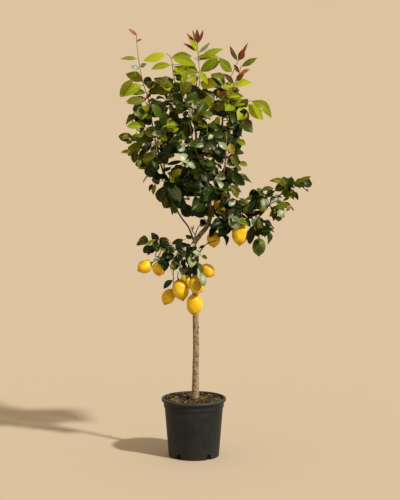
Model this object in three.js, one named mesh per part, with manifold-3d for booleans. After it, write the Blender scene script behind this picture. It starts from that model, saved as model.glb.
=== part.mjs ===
// A young lemon tree in a nursery pot: a bare stem, a low left branch and a right branch, an airy crown of
// leafy sprays, upright young shoots at the top and a dozen hanging fruits.
// Millimetres, +Z up. The origin is the centre of the pot's underside and -Y is the front.
import * as THREE from "three";
import { mergeVertices } from "three/addons/utils/BufferGeometryUtils.js";
import Module from "manifold-3d";

const wasm = await Module();
wasm.setup();

// Driving dimensions
const gap = 0.3; // between pieces that touch

const potHeight = 220;
const potTopRadius = 120;
const potFootRadius = 94;
const potWall = 2.6;
const potFloor = 4;
const lipHeight = 12;
const lipOverhang = 7; // how far the rolled lip stands out from the band under it
const shoulderHeight = 186; // where the band under the lip begins
const shoulderStep = 3; // how far the band stands out from the wall below it
const shoulderRise = 1.5;
const bandTaper = 1.5; // how much narrower the band is at its foot
const notchCount = 5; // drainage notches round the foot
const notchWidth = 17;
const notchHeight = 20;
const notchDepth = 14;
const potSides = 32;

const soilHeight = 212;
const soilRoughness = 2.4;
const soilRings = 3;

const stemFoot = 150; // the lower end of the stem, in the soil
const stemFootRadius = 15;
const stemSides = 8;
const thinLimbRadius = 3; // limbs thinner than this have fewer sides

const calyxRadius = 3.6;
const stalkRadius = 1.6;
const stalkBend = 12; // length of a stalk that is in line with its fruit

const twigRadius = 1.7;
const sideTwigRootRadius = 0.6; // inside the twig that it grows from
const twigTipRadius = 1;
const twigSides = 3;
const leafThickness = 1.6; // along the midrib, thinning out to the edges
const petioleHalfWidth = 1.2;
const leafClearance = 0.6; // kept between a leaf and whatever it doesn't grow from
const fruitClearance = 2.5; // more, as a fruit is tested as a smooth ellipsoid
const goldenAngle = 2.39996; // radians between one leaf and the next round a twig

// Where the light comes from, which young leaves turn their faces to
const lightSide = new THREE.Vector3(0.45, -0.8, 0.4);

// Colours
const colours = {
  pot: 0x2b2a28,
  soil: 0x4a3b28,
  bark: 0x8f7655,
  ripe: 0xe9b92c,
  unripe: 0x5d7419,
  dark: 0x2f4016,
  young: 0x86902a,
  olive: 0x7a7a24,
  red: 0x6e2a18,
};

// The wood. Each limb is a list of centre points with the limb's radius there: [x, y, z, radius].
const limbs = {
  trunk: [
    [6, 0, stemFoot, stemFootRadius],
    [6, 0, soilHeight, stemFootRadius],
    [6, 0, 285, 12],
    [8, 0, 398, 11],
    [7, 0, 500, 10.8],
    [5, 0, 623, 10.6],
    [4, 0, 716, 10.3],
    [-1, 0, 790, 9.8],
    [22, 0, 826, 8.8],
    [50, 0, 862, 8.4],
    [61, 0, 905, 8],
    [57, 0, 948, 7.4],
    [38, 0, 985, 6.8],
    [23, 0, 1049, 6],
    [12, 0, 1140, 4.8],
    [8, 0, 1232, 3.4],
    [14, -2, 1330, 2.2],
  ],
  left: [
    [2, 0, 800, 3.4],
    [-20, 4, 857, 2.9],
    [-42, 8, 886, 2.8],
    [-57, 10, 910, 2.8],
    [-80, 10, 975, 2.7],
    [-105, 5, 1040, 2.6],
    [-130, 0, 1130, 2.5],
    [-150, 0, 1230, 2.3],
    [-163, 0, 1323, 2.1],
  ],
  frontLeft: [
    [-80, 10, 975, 2.4],
    [-100, -50, 1030, 2.3],
    [-120, -90, 1100, 2.2],
    [-130, -108, 1180, 2],
  ],
  backLeft: [
    [-105, 5, 1040, 2.4],
    [-112, 60, 1100, 2.3],
    [-118, 98, 1180, 2.2],
    [-112, 108, 1250, 2],
  ],
  right: [
    [30, 0, 1015, 4.4],
    [60, 0, 1070, 3.8],
    [90, -5, 1150, 3.2],
    [100, -8, 1220, 2.8],
    [112, -12, 1285, 2.1],
  ],
  front: [
    [46, 0, 970, 4],
    [50, -50, 1020, 3.4],
    [30, -90, 1090, 3],
    [0, -110, 1170, 2.6],
    [-15, -105, 1250, 2],
  ],
  frontRight: [
    [57, 0, 948, 3.6],
    [90, -50, 1000, 3],
    [110, -90, 1070, 2.7],
    [116, -104, 1140, 2.4],
    [118, -106, 1205, 2.1],
  ],
  back: [
    [25, 0, 1040, 4],
    [20, 50, 1090, 3.4],
    [10, 90, 1160, 3],
    [0, 110, 1240, 2.6],
    [-10, 102, 1310, 2],
  ],
  backRight: [
    [22, 0, 1060, 3.6],
    [70, 50, 1100, 3],
    [100, 90, 1150, 2.6],
    [108, 98, 1230, 2],
  ],
  topLeft: [
    [8, 0, 1232, 2.4],
    [-14, -22, 1262, 2.2],
    [-35, -40, 1295, 2],
  ],
  topRight: [
    [8, 0, 1232, 2.4],
    [34, -36, 1248, 2.2],
    [56, -62, 1270, 2],
  ],
  lowLeft: [
    [5, 0, 718, 4.2],
    [-21, -8, 743, 3.6],
    [-50, -15, 759, 3],
    [-106, -15, 774, 2.6],
    [-150, -10, 787, 2],
  ],
  lowRight: [
    [6, 0, 728, 2.6],
    [24, -12, 768, 2.2],
    [49, -30, 799, 1.9],
    [82, -38, 811, 1.6],
  ],
  rightBranch: [
    [52, 0, 866, 5],
    [84, -1, 857, 4.6],
    [113, -2, 861, 4.2],
    [170, -10, 877, 3.7],
    [225, -10, 903, 3.1],
    [272, -5, 935, 2.7],
    [316, 0, 975, 2.3],
    [345, 0, 998, 2],
  ],
  bareTwig: [
    [0, 0, 806, 2.2],
    [6, -3, 828, 1.9],
    [13, -6, 850, 1.7],
    [32, -12, 880, 1.3],
  ],
  bareSpur: [
    [6, -3, 828, 1.6],
    [-6, -8, 846, 1.3],
    [-8, -10, 860, 1.2],
  ],
};

// The fruits: the middle of the stem end and the point of the nipple, with the limb point that each
// stalk grows from and the points that it hangs by.
const fruits = [
  {
    stem: [-157, -20, 726], tip: [-206, -30, 698], width: 50,
    stalk: [[-135, -12, 783], [-140, -16, 756]],
  },
  {
    stem: [-130, -12, 727], tip: [-124, -42, 681], width: 49,
    stalk: [[-116, -14, 776], [-129, -7, 752]],
  },
  {
    stem: [-80, 8, 623], tip: [-110, 4, 567], width: 48,
    stalk: [[-58, -15, 761], [-73, -4, 706], [-76, 6, 662]],
  },
  {
    stem: [-56, -30, 665], tip: [-39, -34, 587], width: 59,
    stalk: [[-38, -12, 753], [-48, -22, 720], [-58, -28, 690]],
  },
  { stem: [5, -40, 675], tip: [18, -88, 623], width: 56, stalk: [[5, -4, 722], [4, -22, 708]] },
  {
    stem: [6, -44, 613], tip: [0, -48, 534], width: 60,
    stalk: [[6, -5, 690], [7, -14, 660], [8, -22, 640]],
  },
  { stem: [29, 34, 706], tip: [76, 28, 673], width: 50, stalk: [[4, 4, 745], [9, 26, 735]] },
  { stem: [-18, 26, 677], tip: [-36, 24, 620], width: 54, stalk: [[2, 4, 735], [-7, 20, 712]] },
  { stem: [71, 0, 839], tip: [75, -6, 781], width: 50, stalk: [[78, 0, 858]] },
  { stem: [170, -50, 876], tip: [167, -54, 793], width: 59, stalk: [[150, -7, 871], [160, -30, 892]] },
  { stem: [103, 22, 984], tip: [97, 20, 904], width: 56, stalk: [[40, 0, 982], [72, 12, 1004]] },
  {
    stem: [240, -10, 815], tip: [239, -14, 750], width: 49,
    stalk: [[225, -10, 903], [235, -10, 866]],
    green: true,
  },
];
const fruitSides = 10;
// Half-width of a fruit along its length, as shares of the full width and length
const fruitOutline = [
  [0.12, 0], [0.36, 0.1], [0.49, 0.32], [0.485, 0.56], [0.36, 0.78], [0.13, 0.92], [0.06, 0.985],
];

// Young shoots, each drawn from the photograph: what its stem starts from, the stem's further [x, y, z]
// points, and its leaves as [place along the stem's points, x, y, z of the leaf's tip, width, arch]. A shoot
// comes after the end of a limb or of another shoot, or from a place along a limb's points.
const shoots = [
  {
    name: "shoot_left",
    after: "left",
    colour: "young",
    stem: [[-184, -4, 1385], [-198, -6, 1456], [-206, -4, 1529]],
    leaves: [
      [2.2, -266, -20, 1471, 17], [1.75, -228, -16, 1445, 20], [1.78, -169, -10, 1454, 18],
      [1.02, -248, 12, 1417, 40], [0.9, -268, -24, 1333, 44, 0.2], [0.45, -238, 26, 1348, 28],
      [0.1, -241, -30, 1311, 32], [0.3, -98, 10, 1397, 46], [0.1, -108, 30, 1346, 38],
    ],
  },
  {
    name: "shoot_left_tip",
    after: "shoot_left",
    colour: "red",
    stem: [[-208, -2, 1564]],
    leaves: [[0.72, -237, -8, 1579, 15], [0.1, -187, 4, 1543, 8]],
  },
  {
    name: "shoot_left_centre",
    after: "topLeft",
    colour: "young",
    stem: [[-60, -44, 1361], [-74, -46, 1423], [-82, -46, 1476], [-98, -48, 1493]],
    leaves: [
      [3.9, -181, -60, 1466, 34], [2.5, -155, -40, 1434, 26], [3.1, -6, -40, 1482, 32], [3, 9, -70, 1448, 38],
      [2.2, -31, -88, 1419, 36], [1.6, -124, -66, 1375, 44], [1.2, -145, -8, 1402, 42],
      [1, -12, -72, 1386, 42], [0.5, -96, -90, 1330, 44],
    ],
  },
  {
    name: "shoot_middle",
    after: "trunk",
    colour: "young",
    stem: [[20, -5, 1380], [20, -6, 1428], [17, -6, 1486]],
    leaves: [
      [2.6, 107, -14, 1508, 30], [1.95, 90, -34, 1477, 40], [2.05, 52, -60, 1381, 24],
      [1.2, 88, -54, 1376, 46], [1.6, -35, -50, 1379, 34], [1.8, -56, 34, 1444, 40], [0.6, -46, 6, 1352, 44],
      [0.3, 62, 26, 1334, 44],
    ],
  },
  {
    name: "shoot_middle_tip",
    after: "shoot_middle",
    colour: "red",
    stem: [[15, -6, 1508], [13, -6, 1530]],
    leaves: [
      [1.9, -5, -10, 1578, 11], [1.85, 11, -14, 1580, 17], [1.8, 34, -4, 1578, 11], [1.7, -25, 0, 1566, 14],
      [0.5, -38, -16, 1529, 12], [0.2, -21, -24, 1546, 20], [0.3, 60, 2, 1533, 15],
    ],
  },
  {
    name: "shoot_right",
    after: "right",
    colour: "young",
    stem: [[128, -16, 1330], [145, -20, 1377]],
    leaves: [
      [1.9, 213, -30, 1384, 28], [1, 82, -52, 1346, 36], [1.1, 182, -50, 1336, 24], [1.85, 103, -40, 1366, 34],
      [0.5, 196, -36, 1312, 34], [0.3, 60, -30, 1310, 40],
    ],
  },
  {
    name: "shoot_right_tip",
    after: "shoot_right",
    colour: "red",
    stem: [[163, -22, 1415], [172, -22, 1447]],
    leaves: [
      [1.2, 145, -30, 1453, 15], [0.06, 103, -40, 1420, 21], [1, 205, -10, 1436, 14],
      [0.4, 183, -44, 1420, 20], [1.9, 230, -20, 1476, 22],
    ],
  },
  {
    name: "shoot_right_back",
    from: ["right", 3],
    colour: "olive",
    stem: [[108, 16, 1280], [118, 24, 1340], [134, 26, 1399], [155, 24, 1450], [164, 24, 1466]],
    leaves: [
      [4.85, 181, 20, 1508, 26], [4.8, 132, 14, 1520, 18], [4.5, 198, 30, 1531, 13], [3.45, 92, 4, 1477, 38],
      [2.2, 60, 30, 1342, 32], [1.7, 176, 64, 1322, 30],
    ],
  },
  {
    name: "shoot_front",
    after: "topRight",
    colour: "olive",
    stem: [[72, -62, 1295], [98, -64, 1339]],
    leaves: [
      [1.9, 86, -70, 1364, 18], [1.85, 121, -60, 1360, 16], [0.8, 22, -84, 1330, 40],
      [1.1, 122, -96, 1296, 36],
    ],
  },
  {
    name: "shoot_far_right",
    from: ["right", 3.5],
    colour: "young",
    stem: [[138, -20, 1284], [176, -22, 1306], [206, -24, 1322]],
    leaves: [
      [2.9, 283, -36, 1259, 38, 0.32], [2.4, 253, -10, 1251, 42], [1.9, 160, -56, 1250, 32],
      [1.8, 200, 22, 1236, 38], [1.2, 140, -62, 1240, 36], [2.7, 174, -40, 1301, 36],
    ],
  },
];

// The crown's outline: height, how far its foliage reaches left, right, and to the front and back
const crownOutline = [
  [925, -75, 150, 110],
  [960, -122, 170, 130],
  [1000, -168, 172, 160],
  [1050, -190, 195, 185],
  [1110, -235, 198, 195],
  [1160, -272, 185, 195],
  [1210, -268, 195, 190],
  [1260, -250, 215, 180],
  [1320, -250, 230, 150],
  [1376, -185, 155, 115],
];
const crownInset = 46; // twigs end this far inside the outline, and their leaves reach out to it
const outerTwigs = 30;
const innerTwigs = 5;
const innerShare = 0.45; // how far out the inner twigs reach
const innerTurn = 1; // radians that the first inner twig stands on from the first outer one
const lean = 0.35; // how much the twigs crowd towards the front, where the light comes from
const crownLeaf = { leaves: 5, long: 66, hang: 0.35 };
const climb = 0.4; // how much more readily a twig rises to its tip than it reaches outwards
const twigsOnLimbPoint = 3;
const oliveHeight = 1300; // sprays that end above this are in full sun and paler

// The limb points that the crown's sprays grow from
const crownRoots = [
  ["trunk", 10], ["trunk", 13], ["trunk", 15], ["left", 4], ["left", 6], ["left", 7.4],
  ["frontLeft", 1], ["frontLeft", 3], ["backLeft", 2], ["backLeft", 3], ["right", 1], ["right", 3.4],
  ["front", 1], ["front", 2], ["front", 3], ["front", 4], ["frontRight", 1], ["frontRight", 2],
  ["frontRight", 4], ["back", 1], ["back", 2], ["back", 3], ["back", 4], ["backRight", 2], ["backRight", 3],
];

// Sprays of the two branches, each with the limb point that it grows from, the tips of its twigs, the number
// of leaves on each twig, their length and how far they hang.
const branchSprays = [
  // round the bare fork
  {
    name: "spray_fork", from: ["trunk", 9],
    tips: [[16, -24, 928], [96, -34, 838]],
    leaves: 4,
    long: 54,
    hang: 0.5,
  },
  {
    name: "spray_lemon", from: ["rightBranch", 1.7],
    tips: [[116, -60, 890], [112, 64, 900]],
    leaves: 4,
    long: 58,
    hang: 0.4,
  },
  // the right branch
  {
    name: "spray_branch_root", from: ["rightBranch", 2],
    tips: [[136, -66, 886], [150, 20, 925]],
    leaves: 5,
    long: 64,
    hang: 0.4,
  },
  {
    name: "spray_branch_upper", from: ["rightBranch", 3],
    tips: [[196, -30, 955], [210, 40, 930]],
    leaves: 5,
    long: 58,
    hang: 0.3,
  },
  {
    name: "spray_branch_lower", from: ["rightBranch", 4],
    tips: [[250, -52, 870], [262, 14, 850]],
    leaves: 4,
    long: 54,
    hang: 0.7,
  },
  {
    name: "spray_branch_outer", from: ["rightBranch", 5],
    tips: [[306, -34, 920], [258, -30, 972]],
    leaves: 4,
    long: 52,
    hang: 0.4,
  },
  {
    name: "spray_branch_tip", from: ["rightBranch", 6],
    tips: [[384, -10, 1014], [322, -40, 1016]],
    leaves: 5,
    long: 56,
    hang: 0.3,
    colour: "olive",
  },
  // the low left branch
  {
    name: "spray_fruiting_tip", from: ["lowLeft", 3],
    tips: [[-172, -30, 796], [-128, -46, 796]],
    leaves: 5,
    long: 50,
    hang: 0.2,
  },
  {
    name: "spray_fruiting_middle", from: ["lowLeft", 2],
    tips: [[-92, -52, 734], [-84, -30, 792]],
    leaves: 5,
    long: 48,
    hang: 0.5,
  },
  {
    name: "spray_fruiting_root", from: ["lowLeft", 1],
    tips: [[-12, -56, 762], [-30, 30, 770], [10, -60, 738]],
    leaves: 4,
    long: 50,
    hang: 0.5,
  },
];
const sideTwigAt = 0.3; // where a spray's second twig leaves its first one
const sideTwigStep = 0.14; // how much further out the third one does
const twigSteps = 4;
const twigSections = 3;
// How far a twig's knee stands aside and up, as shares of the twig's length, in the order they are tried
const twigBends = [
  [0, 0.14], [0.16, 0.1], [-0.16, 0.1], [0, 0.32], [0, -0.1], [0.3, 0.2], [-0.3, 0.2], [0.4, 0], [-0.4, 0],
];
const firstLeafAt = 0.3; // along a twig, past the bare part at its root
const lastLeafAt = 0.98;

// How the leaves of a spray are set. Each pair is the least value and how much more it may be.
const leafSpread = [0.85, 0.35]; // radians that a leaf stands out from its twig
const endLeafSpread = 0.2;
const leafHang = [0.6, 0.8]; // share of the spray's hang
const leafLength = [0.78, 0.44]; // share of the spray's leaf length
const leafWidth = [0.56, 0.16]; // share of the leaf's own length
const leafArch = [0.05, 0.08]; // likewise
const leafFold = 0.2; // rise of the edges, as a share of the half-width
const leafWave = 0.04;
const [faceUp, faceOut, faceLight] = [0.4, 0.6, 0.8]; // how much leaves face up, outwards and to the light
const leafTurns = [0, 0.6, -0.6, 1.2, -1.2, 1.9, -1.9]; // radians round the twig, in the order they are tried
const leafShrink = 0.05; // how much shorter a leaf is at each further try

// The same for the leaves of shoots
const shootLeafSteps = [0, 16, -16, 32, -32, 48, -48]; // forward or back, in the order they are tried
const shootLeafUp = new THREE.Vector3(0.15, -0.95, 0.4);
const shootLeafArch = 0.1;
const shootLeafFold = 0.25;
const shootLeafWave = 0.03;

const within = ([least, more], draw) => least + more * draw;
const vector = ([x, y, z]) => new THREE.Vector3(x, y, z);

function seededDraws(seed) {
  let state = seed;
  return () => {
    state = (Math.imul(state, 1664525) + 1013904223) >>> 0;
    return state / 4294967296;
  };
}

// A closed geometry as a solid that can be joined and cut
function solidOf(geometry) {
  const bare = new THREE.BufferGeometry();
  const loose = geometry.index ? geometry.toNonIndexed() : geometry;
  bare.setAttribute("position", loose.getAttribute("position"));
  const merged = mergeVertices(bare, 1e-4);
  const corners = merged.index.array;
  const triangles = [];
  for (let i = 0; i < corners.length; i += 3) {
    const [a, b, c] = [corners[i], corners[i + 1], corners[i + 2]];
    if (a !== b && b !== c && c !== a) triangles.push(a, b, c);
  }
  return new wasm.Manifold(
    new wasm.Mesh({
      numProp: 3,
      vertProperties: new Float32Array(merged.getAttribute("position").array),
      triVerts: new Uint32Array(triangles),
    }),
  );
}

function geometryOf(solid) {
  const mesh = solid.getMesh();
  const geometry = new THREE.BufferGeometry();
  geometry.setAttribute("position", new THREE.BufferAttribute(new Float32Array(mesh.vertProperties), 3));
  geometry.setIndex(new THREE.BufferAttribute(new Uint32Array(mesh.triVerts), 1));
  geometry.computeVertexNormals();
  return geometry;
}

// The largest body of a solid, without loose scraps and sealed hollows
function mainBody(solid) {
  const bodies = solid.decompose();
  return bodies.reduce((best, body) => (body.volume() > best.volume() ? body : best));
}

const tree = new THREE.Group();

function addMesh(name, geometry, colour, roughness) {
  const material = new THREE.MeshStandardMaterial({ color: colour, roughness, metalness: 0 });
  const mesh = new THREE.Mesh(geometry, material);
  mesh.name = name;
  tree.add(mesh);
  return mesh;
}

// A profile of [radius, height] points turned round the Z axis
function lathe(profile, sides) {
  const points = profile.map(([radius, height]) => new THREE.Vector2(radius, height));
  return new THREE.LatheGeometry(points, sides).rotateX(Math.PI / 2);
}

// ---- The pot

const bandTopRadius = potTopRadius - lipOverhang;
const bandFootRadius = bandTopRadius - bandTaper;
const lipFoot = potHeight - lipHeight;

// The wall's outer radius, in the band under the lip and below its step
function wallRadius(height) {
  const { lerp } = THREE.MathUtils;
  const band = (height - shoulderHeight) / (lipFoot - shoulderHeight);
  if (band >= 0) return lerp(bandFootRadius, bandTopRadius, band);
  return lerp(potFootRadius, bandFootRadius - shoulderStep, height / (shoulderHeight - shoulderRise));
}

// The outline of the hollow from a height in the band down to the middle of the floor. Its step is as far
// above the outer one as the wall is thick.
function hollow(top, clearance) {
  const step = shoulderHeight + potWall + clearance;
  const inside = (radius) => radius - potWall - clearance;
  return [
    [inside(wallRadius(top)), top],
    [inside(wallRadius(step)), step],
    [inside(bandFootRadius - shoulderStep), step - shoulderRise],
    [inside(wallRadius(potFloor)), potFloor + clearance],
    [0, potFloor + clearance],
  ];
}

function makePot() {
  const edge = 1.5;
  const innerLip = bandTopRadius - potWall + 2;
  const shell = lathe(
    [
      [0, 0],
      [potFootRadius - edge, 0],
      [potFootRadius, edge],
      [bandFootRadius - shoulderStep, shoulderHeight - shoulderRise],
      [bandFootRadius, shoulderHeight],
      [bandTopRadius, lipFoot],
      [potTopRadius - edge, lipFoot],
      [potTopRadius, lipFoot + edge],
      [potTopRadius, potHeight - 2 * edge],
      [potTopRadius - edge, potHeight],
      [innerLip + edge, potHeight],
      [innerLip, potHeight - edge],
      ...hollow(lipFoot - edge, 0),
    ],
    potSides,
  );
  let pot = solidOf(shell);
  for (let i = 0; i < notchCount; i++) {
    const notch = new THREE.BoxGeometry(notchWidth, notchDepth, 2 * notchHeight);
    notch.translate(0, -potFootRadius, 0);
    notch.rotateZ(((i + 0.5) * 2 * Math.PI) / notchCount);
    pot = pot.subtract(solidOf(notch));
  }
  addMesh("pot", geometryOf(pot), colours.pot, 0.55);
}

// ---- The potting mix

function soilBump(x, y) {
  const broad = Math.sin(x / 17 + 0.6) * Math.cos(y / 14 - 0.4);
  const fine = Math.sin(x / 6.1 + y / 4.7) * Math.cos(x / 5.3 - y / 7.9 + 1.1);
  return soilRoughness * (0.6 * broad + 0.6 * fine);
}

function makeSoil() {
  const profile = hollow(soilHeight, gap).reverse();
  const [rim] = profile[profile.length - 1];
  for (let ring = 1; ring <= soilRings; ring++) {
    profile.push([rim * (1 - ring / soilRings), soilHeight]);
  }
  const body = lathe(profile, potSides);
  const position = body.getAttribute("position");
  for (let i = 0; i < position.count; i++) {
    const x = position.getX(i);
    const y = position.getY(i);
    const isTop = position.getZ(i) > soilHeight - 1 && Math.hypot(x, y) < rim - 1;
    if (isTop) position.setZ(i, soilHeight + soilBump(x, y));
  }
  const holeRadius = stemFootRadius + 2 * gap;
  const holeDepth = soilHeight - stemFoot + gap;
  const hole = new THREE.CylinderGeometry(holeRadius, holeRadius, 2 * holeDepth, 2 * stemSides);
  hole.rotateX(Math.PI / 2);
  hole.translate(limbs.trunk[0][0], 0, soilHeight);
  addMesh("soil", geometryOf(solidOf(body).subtract(solidOf(hole))), colours.soil, 0.95);
}

// ---- Wood

// The radius a share of the way along a limb, between the radii of its points
function radiusAlong(points, share) {
  const lengths = points.slice(1).map((point, i) => vector(point).distanceTo(vector(points[i])));
  let rest = share * lengths.reduce((sum, length) => sum + length, 0);
  for (let i = 0; i < lengths.length; i++) {
    if (rest <= lengths[i]) return THREE.MathUtils.lerp(points[i][3], points[i + 1][3], rest / lengths[i]);
    rest -= lengths[i];
  }
  return points[points.length - 1][3];
}

// The centres of a tube's sections, evenly along a smooth curve through the points
function centreLine(points, steps) {
  return new THREE.CatmullRomCurve3(points.map(vector)).getSpacedPoints(steps);
}

// A closed tube along a smooth curve through the points, as thick as the points say, plus a skin
function taperedTube(points, sides, steps, skin = 0) {
  const curve = new THREE.CatmullRomCurve3(points.map(vector));
  const section = new THREE.Shape();
  for (let i = 0; i < sides; i++) {
    const turn = (i * 2 * Math.PI) / sides;
    if (i === 0) section.moveTo(1, 0);
    else section.lineTo(Math.cos(turn), Math.sin(turn));
  }
  const tube = new THREE.ExtrudeGeometry(section, { steps, bevelEnabled: false, extrudePath: curve });
  const centres = centreLine(points, steps);
  const radii = centres.map((_, i) => radiusAlong(points, i / steps) + skin);
  const position = tube.getAttribute("position");
  const corner = new THREE.Vector3();
  for (let i = 0; i < position.count; i++) {
    corner.fromBufferAttribute(position, i);
    let nearest = 0;
    for (let j = 1; j < centres.length; j++) {
      if (corner.distanceToSquared(centres[j]) < corner.distanceToSquared(centres[nearest])) nearest = j;
    }
    corner.sub(centres[nearest]).multiplyScalar(radii[nearest]).add(centres[nearest]);
    position.setXYZ(i, corner.x, corner.y, corner.z);
  }
  return solidOf(tube);
}

function limbTube(points, skin) {
  const isTrunk = points === limbs.trunk;
  const sides = isTrunk ? stemSides : points[0][3] < thinLimbRadius ? 4 : 5;
  const steps = isTrunk ? points.length + 1 : points.length - 1;
  return taperedTube(points, sides, steps, skin);
}

// A stalk comes in line with its fruit's axis and widens into the calyx that sits on the stem end
function stalkPoints(fruit) {
  const axis = vector(fruit.tip).sub(vector(fruit.stem)).normalize();
  const bend = vector(fruit.stem).addScaledVector(axis, -stalkBend).toArray();
  const end = vector(fruit.stem).addScaledVector(axis, -gap).toArray();
  return [...[...fruit.stalk, bend].map((point) => [...point, stalkRadius]), [...end, calyxRadius]];
}

function woodSolid(skin) {
  const pieces = Object.values(limbs).map((points) => limbTube(points, skin));
  for (const fruit of fruits) {
    pieces.push(taperedTube(stalkPoints(fruit), 4, fruit.stalk.length + 2, skin));
  }
  return wasm.Manifold.union(pieces);
}

function makeWood() {
  addMesh("trunk_and_branches", geometryOf(mainBody(woodSolid(0))), colours.bark, 0.85);
}

// ---- Fruits

function makeFruits() {
  let ripeCount = 0;
  for (const fruit of fruits) {
    const stem = vector(fruit.stem);
    const axis = vector(fruit.tip).sub(stem);
    const length = axis.length();
    const profile = fruitOutline.map(([across, along]) => [across * fruit.width, along * length]);
    const shape = lathe([[0, 0], ...profile, [0, length]], fruitSides);
    if (!fruit.green) ripeCount += 1;
    const name = fruit.green ? "lemon_green" : "lemon_" + String(ripeCount).padStart(2, "0");
    const mesh = addMesh(name, shape, fruit.green ? colours.unripe : colours.ripe, 0.45);
    mesh.position.copy(stem);
    mesh.quaternion.setFromUnitVectors(new THREE.Vector3(0, 0, 1), axis.normalize());
  }
}

// ---- Leaves

// Where a leaf's cross sections stand, as shares of its length: the petiole's end and two across the
// blade, which have these shares of its half-width
const petioleEnd = 0.13;
const stations = [0.42, 0.74];
const stationWidths = [1, 0.84];

// The corners of a leaf: its root; left, right and underside at the petiole's end; left, right, top and
// underside at both stations; and its tip. It is folded up along the midrib and arched, so that its tip
// hangs.
function leafCorners(leaf, extra) {
  const along = leaf.tip.clone().sub(leaf.root);
  const length = along.length();
  along.normalize();
  const side = along.clone().cross(leaf.up).normalize();
  const up = side.clone().cross(along);
  const place = (share, aside, lift) => {
    const rise = leaf.arch * length * 4 * share * (1 - share);
    const middle = leaf.root.clone().addScaledVector(along, share * length);
    return middle.addScaledVector(side, aside).addScaledVector(up, rise + lift);
  };
  const thick = leafThickness / 2 + extra;
  const corners = [
    leaf.root.clone(),
    place(petioleEnd, -petioleHalfWidth - extra, thick / 2),
    place(petioleEnd, petioleHalfWidth + extra, thick / 2),
    place(petioleEnd, 0, -thick),
  ];
  stations.forEach((share, i) => {
    const half = (leaf.width / 2) * stationWidths[i];
    const edge = leaf.fold * half;
    const wave = leaf.wave * leaf.width * (i === 0 ? 1 : -1);
    corners.push(place(share, -half - extra, edge + wave));
    corners.push(place(share, half + extra, edge - wave));
    corners.push(place(share, 0, thick));
    corners.push(place(share, 0, -thick));
  });
  corners.push(place(1, 0, 0).addScaledVector(along, extra));
  return corners;
}

// The blade's two faces are split into triangles alike
const leafFaces = [
  [0, 2, 1], [0, 1, 3], [0, 3, 2], // the petiole
  [1, 2, 6], [1, 6, 4], [2, 5, 6], [3, 4, 7], [3, 1, 4], [3, 5, 2], [3, 7, 5],
  [6, 10, 8], [6, 8, 4], [6, 5, 9], [6, 9, 10], [7, 8, 11], [7, 4, 8], [7, 9, 5], [7, 11, 9],
  [10, 12, 8], [10, 9, 12], [11, 8, 12], [11, 12, 9], // the tip
];

const firstBladeCorner = 4;

const leafEdges = [];
for (const [a, b, c] of leafFaces) {
  for (const [from, to] of [[a, b], [b, c], [c, a]]) {
    if (from < to) leafEdges.push([from, to]);
  }
}

// A leaf's faces and edges in place, for finding what it would cross: of the whole leaf, and of its blade
function leafShape(leaf, extra) {
  const corners = leafCorners(leaf, extra);
  const centre = leaf.root.clone().lerp(leaf.tip, 0.5);
  const partFrom = (first) => ({
    faces: leafFaces.filter((face) => Math.min(...face) >= first).map((face) => face.map((i) => corners[i])),
    edges: leafEdges
      .filter(([from]) => from >= first)
      .map(([from, to]) => new THREE.Line3(corners[from], corners[to])),
  });
  return {
    corners,
    centre,
    reach: Math.max(...corners.map((corner) => corner.distanceTo(centre))),
    whole: partFrom(0),
    blade: partFrom(firstBladeCorner),
  };
}

const ray = new THREE.Ray();
const hit = new THREE.Vector3();

function crossesFace(line, faces) {
  ray.origin.copy(line.start);
  const length = line.delta(ray.direction).length();
  ray.direction.divideScalar(length);
  return faces.some(
    ([a, b, c]) => ray.intersectTriangle(a, b, c, false, hit) && hit.distanceTo(line.start) <= length,
  );
}

// What the leaves keep clear of: rods of wood, fruits and the leaves placed before them
const rods = [];
const placedLeaves = [];

function addRods(points, owner) {
  for (let i = 1; i < points.length; i++) {
    const line = new THREE.Line3(vector(points[i - 1]), vector(points[i]));
    rods.push({ line, radius: Math.max(points[i - 1][3], points[i][3]), owner });
  }
}

// Of a leaf that grows from the rod only the blade is tested
function touchesRod(shape, rod, owner) {
  const keep = rod.radius + leafClearance;
  const near = rod.line.closestPointToPoint(shape.centre, true, new THREE.Vector3());
  if (near.distanceTo(shape.centre) > shape.reach + keep) return false;
  const { edges, faces } = rod.owner === owner ? shape.blade : shape.whole;
  return edges.some((edge) => edge.distanceSqToLine3(rod.line) < keep * keep) || crossesFace(rod.line, faces);
}

// A twig keeps clear of fruits and of rods that aren't its own spray's. The first twig of a spray may touch
// wood where it leaves its limb.
function isClearTwig(twig, owner, isFirst) {
  const points = twigPoints(twig);
  return points.slice(1).every((point, i) => {
    const line = new THREE.Line3(vector(points[i]), vector(point));
    const isClearOf = (other, keep) => line.distanceSqToLine3(other) > keep * keep;
    const fruitsClear = fruits.every((fruit) => {
      const axis = new THREE.Line3(vector(fruit.stem), vector(fruit.tip));
      return isClearOf(axis, fruit.width / 2 + twigRadius + leafClearance);
    });
    const rodsClear = rods.every((rod) => {
      const isOwn = rod.owner === owner || (isFirst && i === 0 && rod.owner === "wood");
      return isOwn || isClearOf(rod.line, rod.radius + twigRadius + leafClearance);
    });
    return fruitsClear && rodsClear;
  });
}

function touchesFruit(shape, fruit) {
  const axis = vector(fruit.tip).sub(vector(fruit.stem));
  const half = axis.length() / 2;
  axis.normalize();
  const centre = vector(fruit.stem).addScaledVector(axis, half);
  const middles = shape.whole.edges.map((edge) => edge.getCenter(new THREE.Vector3()));
  return [...shape.corners, ...middles].some((sample) => {
    const offset = sample.clone().sub(centre);
    const onAxis = offset.dot(axis);
    const across = offset.lengthSq() - onAxis * onAxis;
    return (onAxis / (half + fruitClearance)) ** 2 + across / (fruit.width / 2 + fruitClearance) ** 2 < 1;
  });
}

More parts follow.
